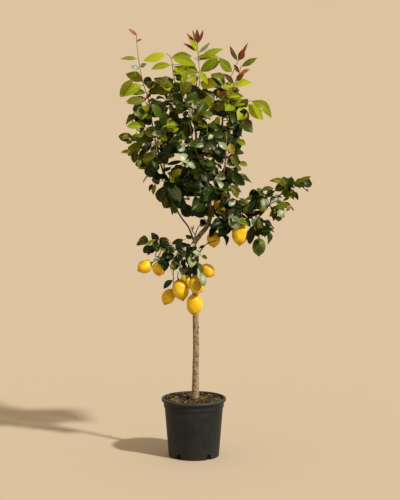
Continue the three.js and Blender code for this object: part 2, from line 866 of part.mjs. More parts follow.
function touchesLeaf(shape, other) {
  if (shape.centre.distanceTo(other.centre) > shape.reach + other.reach) return false;
  return (
    shape.whole.edges.some((edge) => crossesFace(edge, other.whole.faces)) ||
    other.whole.edges.some((edge) => crossesFace(edge, shape.whole.faces))
  );
}

function isClear(leaf, owner) {
  const shape = leafShape(leaf, leafClearance);
  return (
    !fruits.some((fruit) => touchesFruit(shape, fruit)) &&
    !rods.some((rod) => touchesRod(shape, rod, owner)) &&
    !placedLeaves.some((other) => touchesLeaf(shape, other))
  );
}

// Tries a leaf in one attitude after another, and keeps the first that is clear of everything
function placeLeaf(attitudes, owner) {
  const leaf = attitudes.find((attitude) => isClear(attitude, owner));
  if (leaf) placedLeaves.push(leafShape(leaf, 0));
  return leaf;
}

function leafSolid(leaf) {
  const position = leafCorners(leaf, 0).flatMap((corner) => corner.toArray());
  const geometry = new THREE.BufferGeometry();
  geometry.setAttribute("position", new THREE.Float32BufferAttribute(position, 3));
  geometry.setIndex(leafFaces.flat());
  return solidOf(geometry);
}

// ---- Shoots and sprays

// A point a whole or part number of points along a list of points
function pointAt(points, place) {
  const i = Math.min(Math.floor(place), points.length - 2);
  return vector(points[i]).lerp(vector(points[i + 1]), place - i);
}

// The nearest point to another on a line of points, where a leaf's root is sunk in a twig
function nearestOn(line, point) {
  let best;
  for (let i = 1; i < line.length; i++) {
    const near = new THREE.Line3(line[i - 1], line[i]).closestPointToPoint(point, true, new THREE.Vector3());
    if (!best || near.distanceToSquared(point) < best.distanceToSquared(point)) best = near;
  }
  return best;
}

// The stem of a shoot. One that comes after something starts a gap away from its end
function shootStem(shoot) {
  const points = shoot.stem.map(vector);
  if (shoot.from) {
    points.unshift(pointAt(limbs[shoot.from[0]], shoot.from[1]));
  } else {
    const before = limbs[shoot.after] ?? shoots.find((other) => other.name === shoot.after).stem;
    const end = vector(before[before.length - 1]);
    const onward = points[0].clone().sub(end).normalize();
    points.unshift(end.addScaledVector(onward, gap));
  }
  const lastPoint = points.length - 1;
  const radiusAt = (i) => THREE.MathUtils.lerp(twigRadius, twigTipRadius, i / lastPoint);
  return points.map((point, i) => [...point.toArray(), radiusAt(i)]);
}

// Leaves of a shoot face the front and step back or forward until they clear what is there
function shootLeaves(shoot, stem) {
  const leaves = [];
  const line = centreLine(stem, stem.length);
  for (const [place, x, y, z, width, arch = shootLeafArch] of shoot.leaves) {
    const attitudes = shootLeafSteps.map((step) => ({
      root: nearestOn(line, pointAt(stem, place)),
      tip: new THREE.Vector3(x, y + step, z),
      up: shootLeafUp,
      width,
      arch,
      fold: shootLeafFold,
      wave: shootLeafWave,
    }));
    const leaf = placeLeaf(attitudes, shoot.name);
    if (leaf) leaves.push(leaf);
  }
  return leaves;
}

// How far the crown reaches left, right and deep at a height, between the rows of its outline
function crownReach(height) {
  const row = crownOutline.findIndex((entry) => entry[0] > height);
  const [low, high] = [crownOutline[row - 1], crownOutline[row]];
  const share = (height - low[0]) / (high[0] - low[0]);
  return low.slice(1).map((value, i) => THREE.MathUtils.lerp(value, high[i + 1], share));
}

// The ends of the crown's twigs wind up its outline by the golden angle, with a few inside
function crownTips() {
  const tips = [];
  const lowest = crownOutline[0][0];
  const highest = crownOutline[crownOutline.length - 1][0];
  const wind = (count, reach, start) => {
    for (let i = 0; i < count; i++) {
      const height = THREE.MathUtils.lerp(lowest, highest, (i + 0.5) / count);
      const [left, right, depth] = crownReach(height);
      const even = start + i * goldenAngle;
      const turn = even - lean * Math.cos(even);
      const across = ((right - left) / 2 - crownInset) * reach * Math.cos(turn);
      const back = (depth - crownInset) * reach * Math.sin(turn);
      tips.push([(left + right) / 2 + across, back, height]);
    }
  };
  wind(outerTwigs, 1, 0);
  wind(innerTwigs, innerShare, innerTurn);
  return tips;
}

// Each tip goes to the nearest limb point below it that isn't full
function crownSprays() {
  const found = crownRoots.map(([limb, place]) => ({
    name: "spray_" + limb + "_" + Math.floor(place),
    from: [limb, place],
    tips: [],
    ...crownLeaf,
  }));
  for (const tip of crownTips()) {
    let best;
    let bestCost = Infinity;
    for (const spray of found) {
      const offset = vector(tip).sub(pointAt(limbs[spray.from[0]], spray.from[1]));
      const cost = offset.length() - climb * offset.z;
      if (spray.tips.length < twigsOnLimbPoint && cost < bestCost) {
        best = spray;
        bestCost = cost;
      }
    }
    best.tips.push(tip);
    if (tip[2] > oliveHeight) best.colour = "olive";
  }
  return found.filter((spray) => spray.tips.length > 0);
}

// The twigs of a spray: the first from the limb, the others from the first, each by way of a knee that
// bends until the twig is clear of fruits, wood and other twigs. A tip with no clear way to it is left out.
function sprayTwigs(spray) {
  const base = pointAt(limbs[spray.from[0]], spray.from[1]);
  const twigs = [];
  for (const tip of spray.tips) {
    const isFirst = twigs.length === 0;
    const root = isFirst ? base : twigs[0].curve.getPoint(sideTwigAt + sideTwigStep * (twigs.length - 1));
    const end = vector(tip);
    const length = root.distanceTo(end);
    const sideways = end.clone().sub(root).cross(new THREE.Vector3(0, 0, 1)).normalize();
    const candidates = twigBends.map(([aside, lift]) => {
      const knee = root.clone().lerp(end, 0.5).addScaledVector(sideways, aside * length);
      knee.z += lift * length;
      return {
        curve: new THREE.QuadraticBezierCurve3(root, knee, end),
        leaves: spray.leaves + (isFirst ? 1 : 0),
        rootRadius: isFirst ? twigRadius : sideTwigRootRadius,
      };
    });
    const twig = candidates.find((candidate) => isClearTwig(candidate, spray.name, isFirst));
    if (twig) {
      twigs.push(twig);
      addRods(twigPoints(twig), spray.name);
    }
  }
  return twigs;
}

function twigPoints(twig) {
  return twig.curve.getPoints(twigSteps).map((point, i) => {
    const radius = i === 0 ? twig.rootRadius : THREE.MathUtils.lerp(twigRadius, twigTipRadius, i / twigSteps);
    return [...point.toArray(), radius];
  });
}

// Leaves go round a twig by the golden angle, lean outwards and down, and turn their faces to the light.
// One that would cross something turns further round the twig and is shortened a little.
function twigLeaves(spray, twig, draw) {
  const leaves = [];
  const line = centreLine(twigPoints(twig), twigSections);
  for (let i = 0; i < twig.leaves; i++) {
    const [jitterX, jitterY, jitterZ] = [draw() - 0.5, draw() - 0.5, draw() - 0.5];
    const [sizeDraw, widthDraw, spreadDraw] = [draw(), draw(), draw()];
    const share = THREE.MathUtils.lerp(firstLeafAt, lastLeafAt, i / (twig.leaves - 1));
    const root = nearestOn(line, twig.curve.getPoint(share));
    const tangent = twig.curve.getTangent(share);
    const across = tangent.clone().cross(new THREE.Vector3(0, 0, 1)).normalize();
    const over = across.clone().cross(tangent);
    const spread = i === twig.leaves - 1 ? endLeafSpread : within(leafSpread, spreadDraw);
    const fromStem = new THREE.Vector3(root.x, root.y, 0).normalize();
    const up = new THREE.Vector3(jitterY, jitterZ, faceUp);
    up.addScaledVector(fromStem, faceOut).addScaledVector(lightSide, faceLight);
    const attitudes = leafTurns.map((turn, attempt) => {
      const round = i * goldenAngle + 2 * Math.PI * jitterX + turn;
      const outwards = across.clone().multiplyScalar(Math.cos(round)).addScaledVector(over, Math.sin(round));
      const heading = tangent.clone().multiplyScalar(Math.cos(spread));
      heading.addScaledVector(outwards, Math.sin(spread));
      heading.z -= spray.hang * within(leafHang, spreadDraw);
      const length = spray.long * within(leafLength, sizeDraw) * (1 - leafShrink * attempt);
      return {
        root,
        tip: root.clone().addScaledVector(heading.normalize(), length),
        up,
        width: length * within(leafWidth, widthDraw),
        arch: within(leafArch, widthDraw),
        fold: leafFold,
        wave: leafWave * (sizeDraw - 0.5),
      };
    });
    const leaf = placeLeaf(attitudes, spray.name);
    if (leaf) leaves.push(leaf);
  }
  return leaves;
}

function addFoliage(name, tubes, leaves, colour, clearOf) {
  const grown = wasm.Manifold.union([...tubes, ...leaves.map(leafSolid)]);
  addMesh(name, geometryOf(mainBody(grown.subtract(clearOf))), colours[colour], 0.5);
}

function makeFoliage() {
  Object.values(limbs).forEach((points) => addRods(points, "wood"));
  fruits.forEach((fruit) => addRods(stalkPoints(fruit), "wood"));
  const stems = shoots.map(shootStem);
  shoots.forEach((shoot, i) => addRods(stems[i], shoot.name));
  const sprays = [...crownSprays(), ...branchSprays];
  const twigs = sprays.map(sprayTwigs);

  const clearOf = woodSolid(gap);
  const shootFoliage = shoots.map((shoot, i) => shootLeaves(shoot, stems[i]));
  shoots.forEach((shoot, i) => {
    const tube = taperedTube(stems[i], twigSides, stems[i].length);
    addFoliage(shoot.name, [tube], shootFoliage[i], shoot.colour, clearOf);
  });
  sprays.forEach((spray, i) => {
    const draw = seededDraws(i + 1);
    const leaves = twigs[i].flatMap((twig) => twigLeaves(spray, twig, draw));
    const tubes = twigs[i].map((twig) => taperedTube(twigPoints(twig), twigSides, twigSections));
    addFoliage(spray.name, tubes, leaves, spray.colour ?? "dark", clearOf);
  });
}

makePot();
makeSoil();
makeWood();
makeFruits();
makeFoliage();

export default tree;
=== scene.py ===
import functools
import math

import bmesh
import bpy
import numpy as np
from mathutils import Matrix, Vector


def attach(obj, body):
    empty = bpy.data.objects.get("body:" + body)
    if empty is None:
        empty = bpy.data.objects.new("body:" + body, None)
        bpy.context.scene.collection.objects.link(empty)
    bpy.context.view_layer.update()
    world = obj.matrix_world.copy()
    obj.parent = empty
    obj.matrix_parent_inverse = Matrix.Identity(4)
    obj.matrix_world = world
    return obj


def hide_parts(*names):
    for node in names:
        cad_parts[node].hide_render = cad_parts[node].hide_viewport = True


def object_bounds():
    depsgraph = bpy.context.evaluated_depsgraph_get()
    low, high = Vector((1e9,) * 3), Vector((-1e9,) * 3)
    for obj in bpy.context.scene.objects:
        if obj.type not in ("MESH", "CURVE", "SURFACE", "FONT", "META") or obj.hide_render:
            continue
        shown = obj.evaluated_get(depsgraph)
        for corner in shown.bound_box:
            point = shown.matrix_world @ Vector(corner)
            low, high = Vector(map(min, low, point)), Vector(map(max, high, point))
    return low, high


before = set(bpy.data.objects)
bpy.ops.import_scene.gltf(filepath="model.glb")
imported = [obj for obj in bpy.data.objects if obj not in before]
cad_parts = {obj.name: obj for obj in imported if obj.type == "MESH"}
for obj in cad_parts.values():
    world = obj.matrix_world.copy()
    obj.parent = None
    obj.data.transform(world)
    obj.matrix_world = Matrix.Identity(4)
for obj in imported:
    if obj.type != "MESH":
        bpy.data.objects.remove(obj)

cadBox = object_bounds()
mm = 0.001
mergeDistance = 0.00002
goldenAngle = 2.39996   # radians between one leaf and the next round a twig
# Sockets of a Mix node for colours, whose names stand for several sockets each
mixShare, mixFrom, mixTo, mixed = 0, 6, 7, 2
nodeNames = sorted(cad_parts)

# ---- small helpers


def array(values):
    return np.array(values, dtype=float)


def unit(vector):
    return vector / np.linalg.norm(vector)


def mix(low, high, share):
    return low + (high - low) * share


def seededDraws(seed):
    state = seed

    def draw():
        nonlocal state
        state = (state * 1664525 + 1013904223) % 4294967296
        return state / 4294967296

    return draw


# A random value, from the least that it can be and how much more
def drawn(span, draw):
    return span[0] + span[1] * draw()


# sRGB hex to the linear colour that the shaders want
def linear(hexColour):
    channels = [int(hexColour[i:i + 2], 16) / 255 for i in (1, 3, 5)]
    return tuple(c / 12.92 if c <= 0.04045 else ((c + 0.055) / 1.055) ** 2.4 for c in channels) + (1,)


# Links inputs of a node, given as {input: (node, output)}
def link(node, links):
    for name, (source, output) in links.items():
        node.id_data.links.new(source.outputs[output], node.inputs[name])


def setStops(elements, stops):
    while len(elements) < len(stops):
        elements.new(0.5)
    for element, (place, colour) in zip(elements, stops):
        element.position = place
        element.color = linear(colour)


# One node with its settings and links; "stops" are those of a colour ramp
def addNode(tree, kind, settings=None, links=None):
    node = tree.nodes.new("ShaderNode" + kind)
    for name, value in (settings or {}).items():
        if name == "stops":
            setStops(node.color_ramp.elements, list(value))
        elif isinstance(name, int) or name in node.inputs:
            node.inputs[name].default_value = value
        else:
            setattr(node, name, value)
    link(node, links or {})
    return node


# A pattern's scale, from the size of its features in mm
def perMm(size):
    return 1 / (size * mm)


# A material with its Principled shader set
def plainMaterial(name, shader):
    material = bpy.data.materials.new(name)
    material.use_nodes = True
    for key, value in shader.items():
        material.node_tree.nodes["Principled BSDF"].inputs[key].default_value = value
    return material


# The same for a patterned one, with what adds its nodes and the Object coordinates that place the pattern
def newMaterial(name, shader):
    material = plainMaterial(name, shader)
    add = functools.partial(addNode, material.node_tree)
    return material, add, (add("TexCoord"), "Object")


def patterned(material, links):
    link(material.node_tree.nodes["Principled BSDF"], links)
    return material


def deselectAll():
    if bpy.context.object and bpy.context.object.mode != "OBJECT":
        bpy.ops.object.mode_set(mode="OBJECT")
    bpy.ops.object.select_all(action="DESELECT")


def selectOnly(piece):
    deselectAll()
    piece.select_set(True)
    bpy.context.view_layer.objects.active = piece


def newObject(name, data):
    piece = bpy.data.objects.new(name, data)
    bpy.context.scene.collection.objects.link(piece)
    return piece


def joined(pieces):
    selectOnly(pieces[0])
    for piece in pieces:
        piece.select_set(True)
    bpy.ops.object.join()
    return bpy.context.object


def applyModifier(piece, kind, settings):
    selectOnly(piece)
    modifier = piece.modifiers.new(kind.lower(), kind)
    for name, value in settings.items():
        setattr(modifier, name, value)
    bpy.ops.object.modifier_apply(modifier=modifier.name)


# Lumps the surface by a cloud texture, to a height in mm
def addLumps(piece, texture, height, settings=None):
    applyModifier(piece, "DISPLACE", {
        "texture": texture, "strength": height * mm, "mid_level": 0.5, "texture_coords": "LOCAL",
        **(settings or {})})


def applyPlace(piece):
    selectOnly(piece)
    bpy.ops.object.transform_apply(location=True, rotation=True, scale=True)


def finish(piece, materials, slot, *nodes):
    for material in materials if isinstance(materials, list) else [materials]:
        piece.data.materials.append(material)
    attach(piece, "root")
    if nodes:
        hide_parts(*nodes)


# Copies of a modelled object, each turned, sized and placed, as one mesh with a tone for each copy
def copies(name, model, places):
    selectOnly(model)
    corners = array([v.co for v in model.data.vertices])
    faces = [tuple(p.vertices) for p in model.data.polygons]
    allCorners, allFaces, tones = [], [], []
    for matrix, spot, tone in places:
        first = len(allCorners) * len(corners)
        allCorners.append(corners @ matrix.T + spot)
        allFaces += [tuple(v + first for v in face) for face in faces]
        tones += [tone] * len(faces)
    mesh = bpy.data.meshes.new(name)
    mesh.from_pydata(np.vstack(allCorners).tolist(), [], allFaces)
    mesh.attributes.new("tone", "FLOAT", "FACE").data.foreach_set("value", tones)
    bpy.data.objects.remove(model)
    return newObject(name, mesh)


# In edit mode, select just the vertices whose place passes a test
def selectWhere(piece, isPicked):
    bpy.ops.mesh.select_all(action="DESELECT")
    sheet = bmesh.from_edit_mesh(piece.data)
    for v in sheet.verts:
        v.select_set(bool(isPicked(v.co)))
    sheet.select_flush_mode()
    bmesh.update_edit_mesh(piece.data)


# A profile of (radius, height) in mm, drawn by extruding one vertex and then spun round Z
def spun(name, profile, steps, smoothAngle=40):
    deselectAll()
    bpy.ops.mesh.primitive_plane_add(size=1)
    piece = bpy.context.object
    piece.name = piece.data.name = name
    bpy.ops.object.mode_set(mode="EDIT")
    bpy.ops.mesh.select_all(action="SELECT")
    bpy.ops.mesh.merge(type="CENTER")
    bpy.ops.transform.translate(value=(profile[0][0] * mm, 0, profile[0][1] * mm))
    for (radius, height), (nextRadius, nextHeight) in zip(profile, profile[1:]):
        step = ((nextRadius - radius) * mm, 0, (nextHeight - height) * mm)
        bpy.ops.mesh.extrude_region_move(TRANSFORM_OT_translate={"value": step})
    bpy.ops.mesh.select_all(action="SELECT")
    bpy.ops.mesh.spin(steps=steps, angle=2 * math.pi, center=(0, 0, 0), axis=(0, 0, 1))
    bpy.ops.mesh.select_all(action="SELECT")
    bpy.ops.mesh.remove_doubles(threshold=mergeDistance)
    bpy.ops.mesh.normals_make_consistent(inside=False)
    bpy.ops.object.mode_set(mode="OBJECT")
    bpy.ops.object.shade_smooth_by_angle(angle=math.radians(smoothAngle))
    return piece


# ---- camera, floor and light

view = {
    "place": (0.023, -6.5, 1.58),
    "aim": (0.023, 0, 0.772),
    "focalPixels": 1779,      # with an image 500 pixels high
    "imageHeight": 500,
    "sensor": 36,
    "floor": 60,
    "floorColour": "#AEA79B",
    "skyColour": "#DDC3A0",
    "skyStrength": 1.0,
    "sunColour": "#FFF1DC",
    "sunStrength": 4.6,
    "sunSize": 4,             # degrees
    "sunFrom": (0.8, -0.7, 0.9),
}


def makeStage():
    camera = newObject("camera", bpy.data.cameras.new("camera"))
    camera.data.sensor_width = view["sensor"]
    camera.data.lens = view["focalPixels"] / view["imageHeight"] * view["sensor"]
    camera.location = view["place"]
    drop = view["place"][2] - view["aim"][2]
    camera.rotation_euler = (math.pi / 2 - math.atan2(drop, -view["place"][1]), 0, 0)
    bpy.context.scene.camera = camera

    deselectAll()
    bpy.ops.mesh.primitive_plane_add(size=view["floor"])
    floor = bpy.context.object
    floor.name = "floor"
    paint = plainMaterial("paleFloor", {"Roughness": 0.85, "Base Color": linear(view["floorColour"])})
    floor.data.materials.append(paint)

    sun = newObject("sun", bpy.data.lights.new("sun", "SUN"))
    sun.data.energy = view["sunStrength"]
    sun.data.angle = math.radians(view["sunSize"])
    sun.data.color = linear(view["sunColour"])[:3]
    x, y, z = view["sunFrom"]
    sun.rotation_euler = (math.atan2(math.hypot(x, y), z), 0, math.atan2(y, x) + math.pi / 2)

    world = bpy.data.worlds.new("studio")
    world.use_nodes = True
    sky = world.node_tree.nodes["Background"]
    sky.inputs["Color"].default_value = linear(view["skyColour"])
    sky.inputs["Strength"].default_value = view["skyStrength"]
    bpy.context.scene.world = world
    bpy.context.scene.view_settings.view_transform = "Standard"


makeStage()
print("camera, floor and light made")

# ---- the plan of the tree, in mm: the same centre lines as the solids have

# Each limb: centre points and the radius there
limbs = {
    "trunk": [
        (6, 0, 150, 15), (6, 0, 212, 15), (6, 0, 285, 12), (8, 0, 398, 11), (7, 0, 500, 10.8),
        (5, 0, 623, 10.6), (4, 0, 716, 10.3), (-1, 0, 790, 9.8), (22, 0, 826, 8.8), (50, 0, 862, 8.4),
        (61, 0, 905, 8), (57, 0, 948, 7.4), (38, 0, 985, 6.8), (23, 0, 1049, 6), (12, 0, 1140, 4.8),
        (8, 0, 1232, 3.4), (14, -2, 1330, 2.2),
    ],
    "left": [
        (2, 0, 800, 3.4), (-20, 4, 857, 2.9), (-42, 8, 886, 2.8), (-57, 10, 910, 2.8), (-80, 10, 975, 2.7),
        (-105, 5, 1040, 2.6), (-130, 0, 1130, 2.5), (-150, 0, 1230, 2.3), (-163, 0, 1323, 2.1),
    ],
    "frontLeft": [(-80, 10, 975, 2.4), (-100, -50, 1030, 2.3), (-120, -90, 1100, 2.2), (-130, -108, 1180, 2)],
    "backLeft": [(-105, 5, 1040, 2.4), (-112, 60, 1100, 2.3), (-118, 98, 1180, 2.2), (-112, 108, 1250, 2)],
    "right": [
        (30, 0, 1015, 4.4), (60, 0, 1070, 3.8), (90, -5, 1150, 3.2), (100, -8, 1220, 2.8),
        (112, -12, 1285, 2.1),
    ],
    "front": [
        (46, 0, 970, 4), (50, -50, 1020, 3.4), (30, -90, 1090, 3), (0, -110, 1170, 2.6), (-15, -105, 1250, 2),
    ],
    "frontRight": [
        (57, 0, 948, 3.6), (90, -50, 1000, 3), (110, -90, 1070, 2.7), (116, -104, 1140, 2.4),
        (118, -106, 1205, 2.1),
    ],
    "back": [
        (25, 0, 1040, 4), (20, 50, 1090, 3.4), (10, 90, 1160, 3), (0, 110, 1240, 2.6), (-10, 102, 1310, 2),
    ],
    "backRight": [(22, 0, 1060, 3.6), (70, 50, 1100, 3), (100, 90, 1150, 2.6), (108, 98, 1230, 2)],
    "topLeft": [(8, 0, 1232, 2.4), (-14, -22, 1262, 2.2), (-35, -40, 1295, 2)],
    "topRight": [(8, 0, 1232, 2.4), (34, -36, 1248, 2.2), (56, -62, 1270, 2)],
    "lowLeft": [
        (5, 0, 718, 4.2), (-21, -8, 743, 3.6), (-50, -15, 759, 3), (-106, -15, 774, 2.6), (-150, -10, 787, 2),
    ],
    "lowRight": [(6, 0, 728, 2.6), (24, -12, 768, 2.2), (49, -30, 799, 1.9), (82, -38, 811, 1.6)],
    "rightBranch": [
        (52, 0, 866, 5), (84, -1, 857, 4.6), (113, -2, 861, 4.2), (170, -10, 877, 3.7), (225, -10, 903, 3.1),
        (272, -5, 935, 2.7), (316, 0, 975, 2.3), (345, 0, 998, 2),
    ],
    "bareTwig": [(0, 0, 806, 2.2), (6, -3, 828, 1.9), (13, -6, 850, 1.7), (32, -12, 880, 1.3)],
    "bareSpur": [(6, -3, 828, 1.6), (-6, -8, 846, 1.3), (-8, -10, 860, 1.2)],
}

# Each fruit: the middle of its stem end, the point of its nipple, its width, and its stalk's points
fruits = [
    {"stem": (-157, -20, 726), "tip": (-206, -30, 698), "width": 50,
     "stalk": [(-135, -12, 783), (-140, -16, 756)]},
    {"stem": (-130, -12, 727), "tip": (-124, -42, 681), "width": 49,
     "stalk": [(-116, -14, 776), (-129, -7, 752)]},
    {"stem": (-80, 8, 623), "tip": (-110, 4, 567), "width": 48,
     "stalk": [(-58, -15, 761), (-73, -4, 706), (-76, 6, 662)]},
    {"stem": (-56, -30, 665), "tip": (-39, -34, 587), "width": 59,
     "stalk": [(-38, -12, 753), (-48, -22, 720), (-58, -28, 690)]},
    {"stem": (5, -40, 675), "tip": (18, -88, 623), "width": 56, "stalk": [(5, -4, 722), (4, -22, 708)]},
    {"stem": (6, -44, 613), "tip": (0, -48, 534), "width": 60,
     "stalk": [(6, -5, 690), (7, -14, 660), (8, -22, 640)]},
    {"stem": (29, 34, 706), "tip": (76, 28, 673), "width": 50, "stalk": [(4, 4, 745), (9, 26, 735)]},
    {"stem": (-18, 26, 677), "tip": (-36, 24, 620), "width": 54, "stalk": [(2, 4, 735), (-7, 20, 712)]},
    {"stem": (71, 0, 839), "tip": (75, -6, 781), "width": 50, "stalk": [(78, 0, 858)]},
    {"stem": (170, -50, 876), "tip": (167, -54, 793), "width": 59,
     "stalk": [(150, -7, 871), (160, -30, 892)]},
    {"stem": (103, 22, 984), "tip": (97, 20, 904), "width": 56, "stalk": [(40, 0, 982), (72, 12, 1004)]},
    {"stem": (240, -10, 815), "tip": (239, -14, 750), "width": 49,
     "stalk": [(225, -10, 903), (235, -10, 866)]},
]
fruitNames = ["lemon_%02d" % (i + 1) for i in range(11)] + ["lemon_green"]

# Each young shoot: what its stem starts from and the stem's further points
shoots = {
    "shoot_left": ("left", None, [(-184, -4, 1385), (-198, -6, 1456), (-206, -4, 1529)]),
    "shoot_left_tip": ("shoot_left", None, [(-208, -2, 1564)]),
    "shoot_left_centre": (
        "topLeft", None, [(-60, -44, 1361), (-74, -46, 1423), (-82, -46, 1476), (-98, -48, 1493)]),
    "shoot_middle": ("trunk", None, [(20, -5, 1380), (20, -6, 1428), (17, -6, 1486)]),
    "shoot_middle_tip": ("shoot_middle", None, [(15, -6, 1508), (13, -6, 1530)]),
    "shoot_right": ("right", None, [(128, -16, 1330), (145, -20, 1377)]),
    "shoot_right_tip": ("shoot_right", None, [(163, -22, 1415), (172, -22, 1447)]),
    "shoot_right_back": (
        "right", 3, [(108, 16, 1280), (118, 24, 1340), (134, 26, 1399), (155, 24, 1450), (164, 24, 1466)]),
    "shoot_front": ("topRight", None, [(72, -62, 1295), (98, -64, 1339)]),
    "shoot_far_right": ("right", 3.5, [(138, -20, 1284), (176, -22, 1306), (206, -24, 1322)]),
}

# The crown: height, how far it reaches left, right, and to the front and back
crown = {
    "outline": [
        (925, -75, 150, 110), (960, -122, 170, 130), (1000, -168, 172, 160), (1050, -190, 195, 185),
        (1110, -235, 198, 195), (1160, -272, 185, 195), (1210, -268, 195, 190), (1260, -250, 215, 180),
        (1320, -250, 230, 150), (1376, -185, 155, 115),
    ],
    "inset": 46,
    "outerTwigs": 30,
    "innerTwigs": 5,
    "innerShare": 0.45,
    "innerTurn": 1,
    "lean": 0.35,
    "climb": 0.4,
    "twigsOnLimbPoint": 3,
    "roots": [
        ("trunk", 10), ("trunk", 13), ("trunk", 15), ("left", 4), ("left", 6), ("left", 7.4),
        ("frontLeft", 1), ("frontLeft", 3), ("backLeft", 2), ("backLeft", 3), ("right", 1), ("right", 3.4),
        ("front", 1), ("front", 2), ("front", 3), ("front", 4), ("frontRight", 1), ("frontRight", 2),
        ("frontRight", 4), ("back", 1), ("back", 2), ("back", 3), ("back", 4), ("backRight", 2),
        ("backRight", 3),
    ],
}

branchSprays = {
    "spray_fork": (("trunk", 9), [(16, -24, 928), (96, -34, 838)]),
    "spray_lemon": (("rightBranch", 1.7), [(116, -60, 890), (112, 64, 900)]),
    "spray_branch_root": (("rightBranch", 2), [(136, -66, 886), (150, 20, 925)]),
    "spray_branch_upper": (("rightBranch", 3), [(196, -30, 955), (210, 40, 930)]),
    "spray_branch_lower": (("rightBranch", 4), [(250, -52, 870), (262, 14, 850)]),
    "spray_branch_outer": (("rightBranch", 5), [(306, -34, 920), (258, -30, 972)]),
    "spray_branch_tip": (("rightBranch", 6), [(384, -10, 1014), (322, -40, 1016)]),
    "spray_fruiting_tip": (("lowLeft", 3), [(-172, -30, 796), (-128, -46, 796)]),
    "spray_fruiting_middle": (("lowLeft", 2), [(-92, -52, 734), (-84, -30, 792)]),
    "spray_fruiting_root": (("lowLeft", 1), [(-12, -56, 762), (-30, 30, 770), (10, -60, 738)]),
}

stem = {
    "gap": 0.3,
    "calyxRadius": 3.6,
    "stalkRadius": 1.6,
    "stalkBend": 12,
    "twigRadius": 1.7,
    "twigTipRadius": 1,
    "clearance": 0.6,
    "sideTwigAt": 0.3,
    "sideTwigStep": 0.14,
    "twigSteps": 4,
    # how far a twig's knee stands aside and up, as shares of its length, in the order they are tried
    "twigBends": [
        (0, 0.14), (0.16, 0.1), (-0.16, 0.1), (0, 0.32), (0, -0.1), (0.3, 0.2), (-0.3, 0.2), (0.4, 0),
        (-0.4, 0),
    ],
}


# A point a whole or part number of points along a list of points
def pointAt(points, place):
    i = min(math.floor(place), len(points) - 2)
    return mix(array(points[i][:3]), array(points[i + 1][:3]), place - i)


# Least distance between two straight stretches
def stretchDistance(a, b, c, d):
    ab, cd, ca = b - a, d - c, a - c
    lengthAb, lengthCd, onto = ab @ ab, cd @ cd, cd @ ca
    across, along = ab @ cd, ab @ ca
    spread = lengthAb * lengthCd - across * across
    s = np.clip((across * onto - along * lengthCd) / spread, 0, 1) if spread > 1e-12 else 0
    t = (across * s + onto) / lengthCd
    if t < 0:
        t, s = 0, np.clip(-along / lengthAb, 0, 1)
    elif t > 1:
        t, s = 1, np.clip((across - along) / lengthAb, 0, 1)
    return np.linalg.norm(ca + ab * s - cd * t)


# A smooth curve through the points, as evenly spaced points with radii: centripetal, as the solids' is
def smoothLine(points, spacing):
    known = array([p[:3] for p in points])
    radii = array([p[3] for p in points])
    ends = np.vstack([2 * known[0] - known[1], known, 2 * known[-1] - known[-2]])
    fine, places = [], []
    for i in range(len(known) - 1):
        p0, p1, p2, p3 = ends[i:i + 4]
        t0, t1, t2 = [max(np.linalg.norm(q - p) ** 0.5, 1e-4) for p, q in ((p0, p1), (p1, p2), (p2, p3))]
        m1 = ((p1 - p0) / t0 - (p2 - p0) / (t0 + t1) + (p2 - p1) / t1) * t1
        m2 = ((p2 - p1) / t1 - (p3 - p1) / (t1 + t2) + (p3 - p2) / t2) * t1
        for u in np.linspace(0, 1, 12, endpoint=i == len(known) - 2):
            u2, u3 = u * u, u * u * u
            leaving = (2 * u3 - 3 * u2 + 1) * p1 + (u3 - 2 * u2 + u) * m1
            fine.append(leaving + (3 * u2 - 2 * u3) * p2 + (u3 - u2) * m2)
            places.append(i + u)
    fine = array(fine)
    run = np.concatenate([[0], np.cumsum(np.linalg.norm(np.diff(fine, axis=0), axis=1))])
    count = max(3, round(run[-1] / spacing) + 1)
    at = np.linspace(0, run[-1], count)
    line = np.stack([np.interp(at, run, fine[:, axis]) for axis in range(3)], axis=1)
    return line, np.interp(np.interp(at, run, places), np.arange(len(radii)), radii)


def fruitEnds(fruit):
    return array(fruit["stem"]), array(fruit["tip"])


def stalkPoints(fruit):
    first, last = fruitEnds(fruit)
    axis = unit(last - first)
    points = [(*p, stem["stalkRadius"]) for p in fruit["stalk"]]
    points.append((*(first - axis * stem["stalkBend"]), stem["stalkRadius"]))
    points.append((*(first - axis * stem["gap"]), stem["calyxRadius"]))
    return points


def shootStem(name):
    source, place, further = shoots[name]
    if place is None:
        before = limbs[source] if source in limbs else shoots[source][2]
        end = array(before[-1][:3])
        start = end + unit(array(further[0]) - end) * stem["gap"]
    else:
        start = pointAt(limbs[source], place)
    points = [tuple(start)] + further
    radii = np.linspace(stem["twigRadius"], stem["twigTipRadius"], len(points))
    return [(*point, radius) for point, radius in zip(points, radii)]


# Ends of twigs that wind up the crown by the golden angle, a share of the way out to its outline
def crownTips(count, reach, start):
    heights, *reaches = zip(*crown["outline"])
    tips = []
    for i in range(count):
        height = mix(heights[0], heights[-1], (i + 0.5) / count)
        left, right, depth = [np.interp(height, heights, column) for column in reaches]
        even = start + i * goldenAngle
        turn = even - crown["lean"] * math.cos(even)
        across = ((right - left) / 2 - crown["inset"]) * reach * math.cos(turn)
        back = (depth - crown["inset"]) * reach * math.sin(turn)
        tips.append(array(((left + right) / 2 + across, back, height)))
    return tips


# Each tip goes to the nearest limb point below it that isn't full
def crownSprays():
    found = [("spray_%s_%d" % (limb, math.floor(place)), (limb, place), []) for limb, place in crown["roots"]]
    tips = crownTips(crown["outerTwigs"], 1, 0)
    tips += crownTips(crown["innerTwigs"], crown["innerShare"], crown["innerTurn"])
    for tip in tips:
        def cost(spray):
            offset = tip - pointAt(limbs[spray[1][0]], spray[1][1])
            return np.linalg.norm(offset) - crown["climb"] * offset[2]
        min((s for s in found if len(s[2]) < crown["twigsOnLimbPoint"]), key=cost)[2].append(tip)
    return {name: (root, tips) for name, root, tips in found if tips}


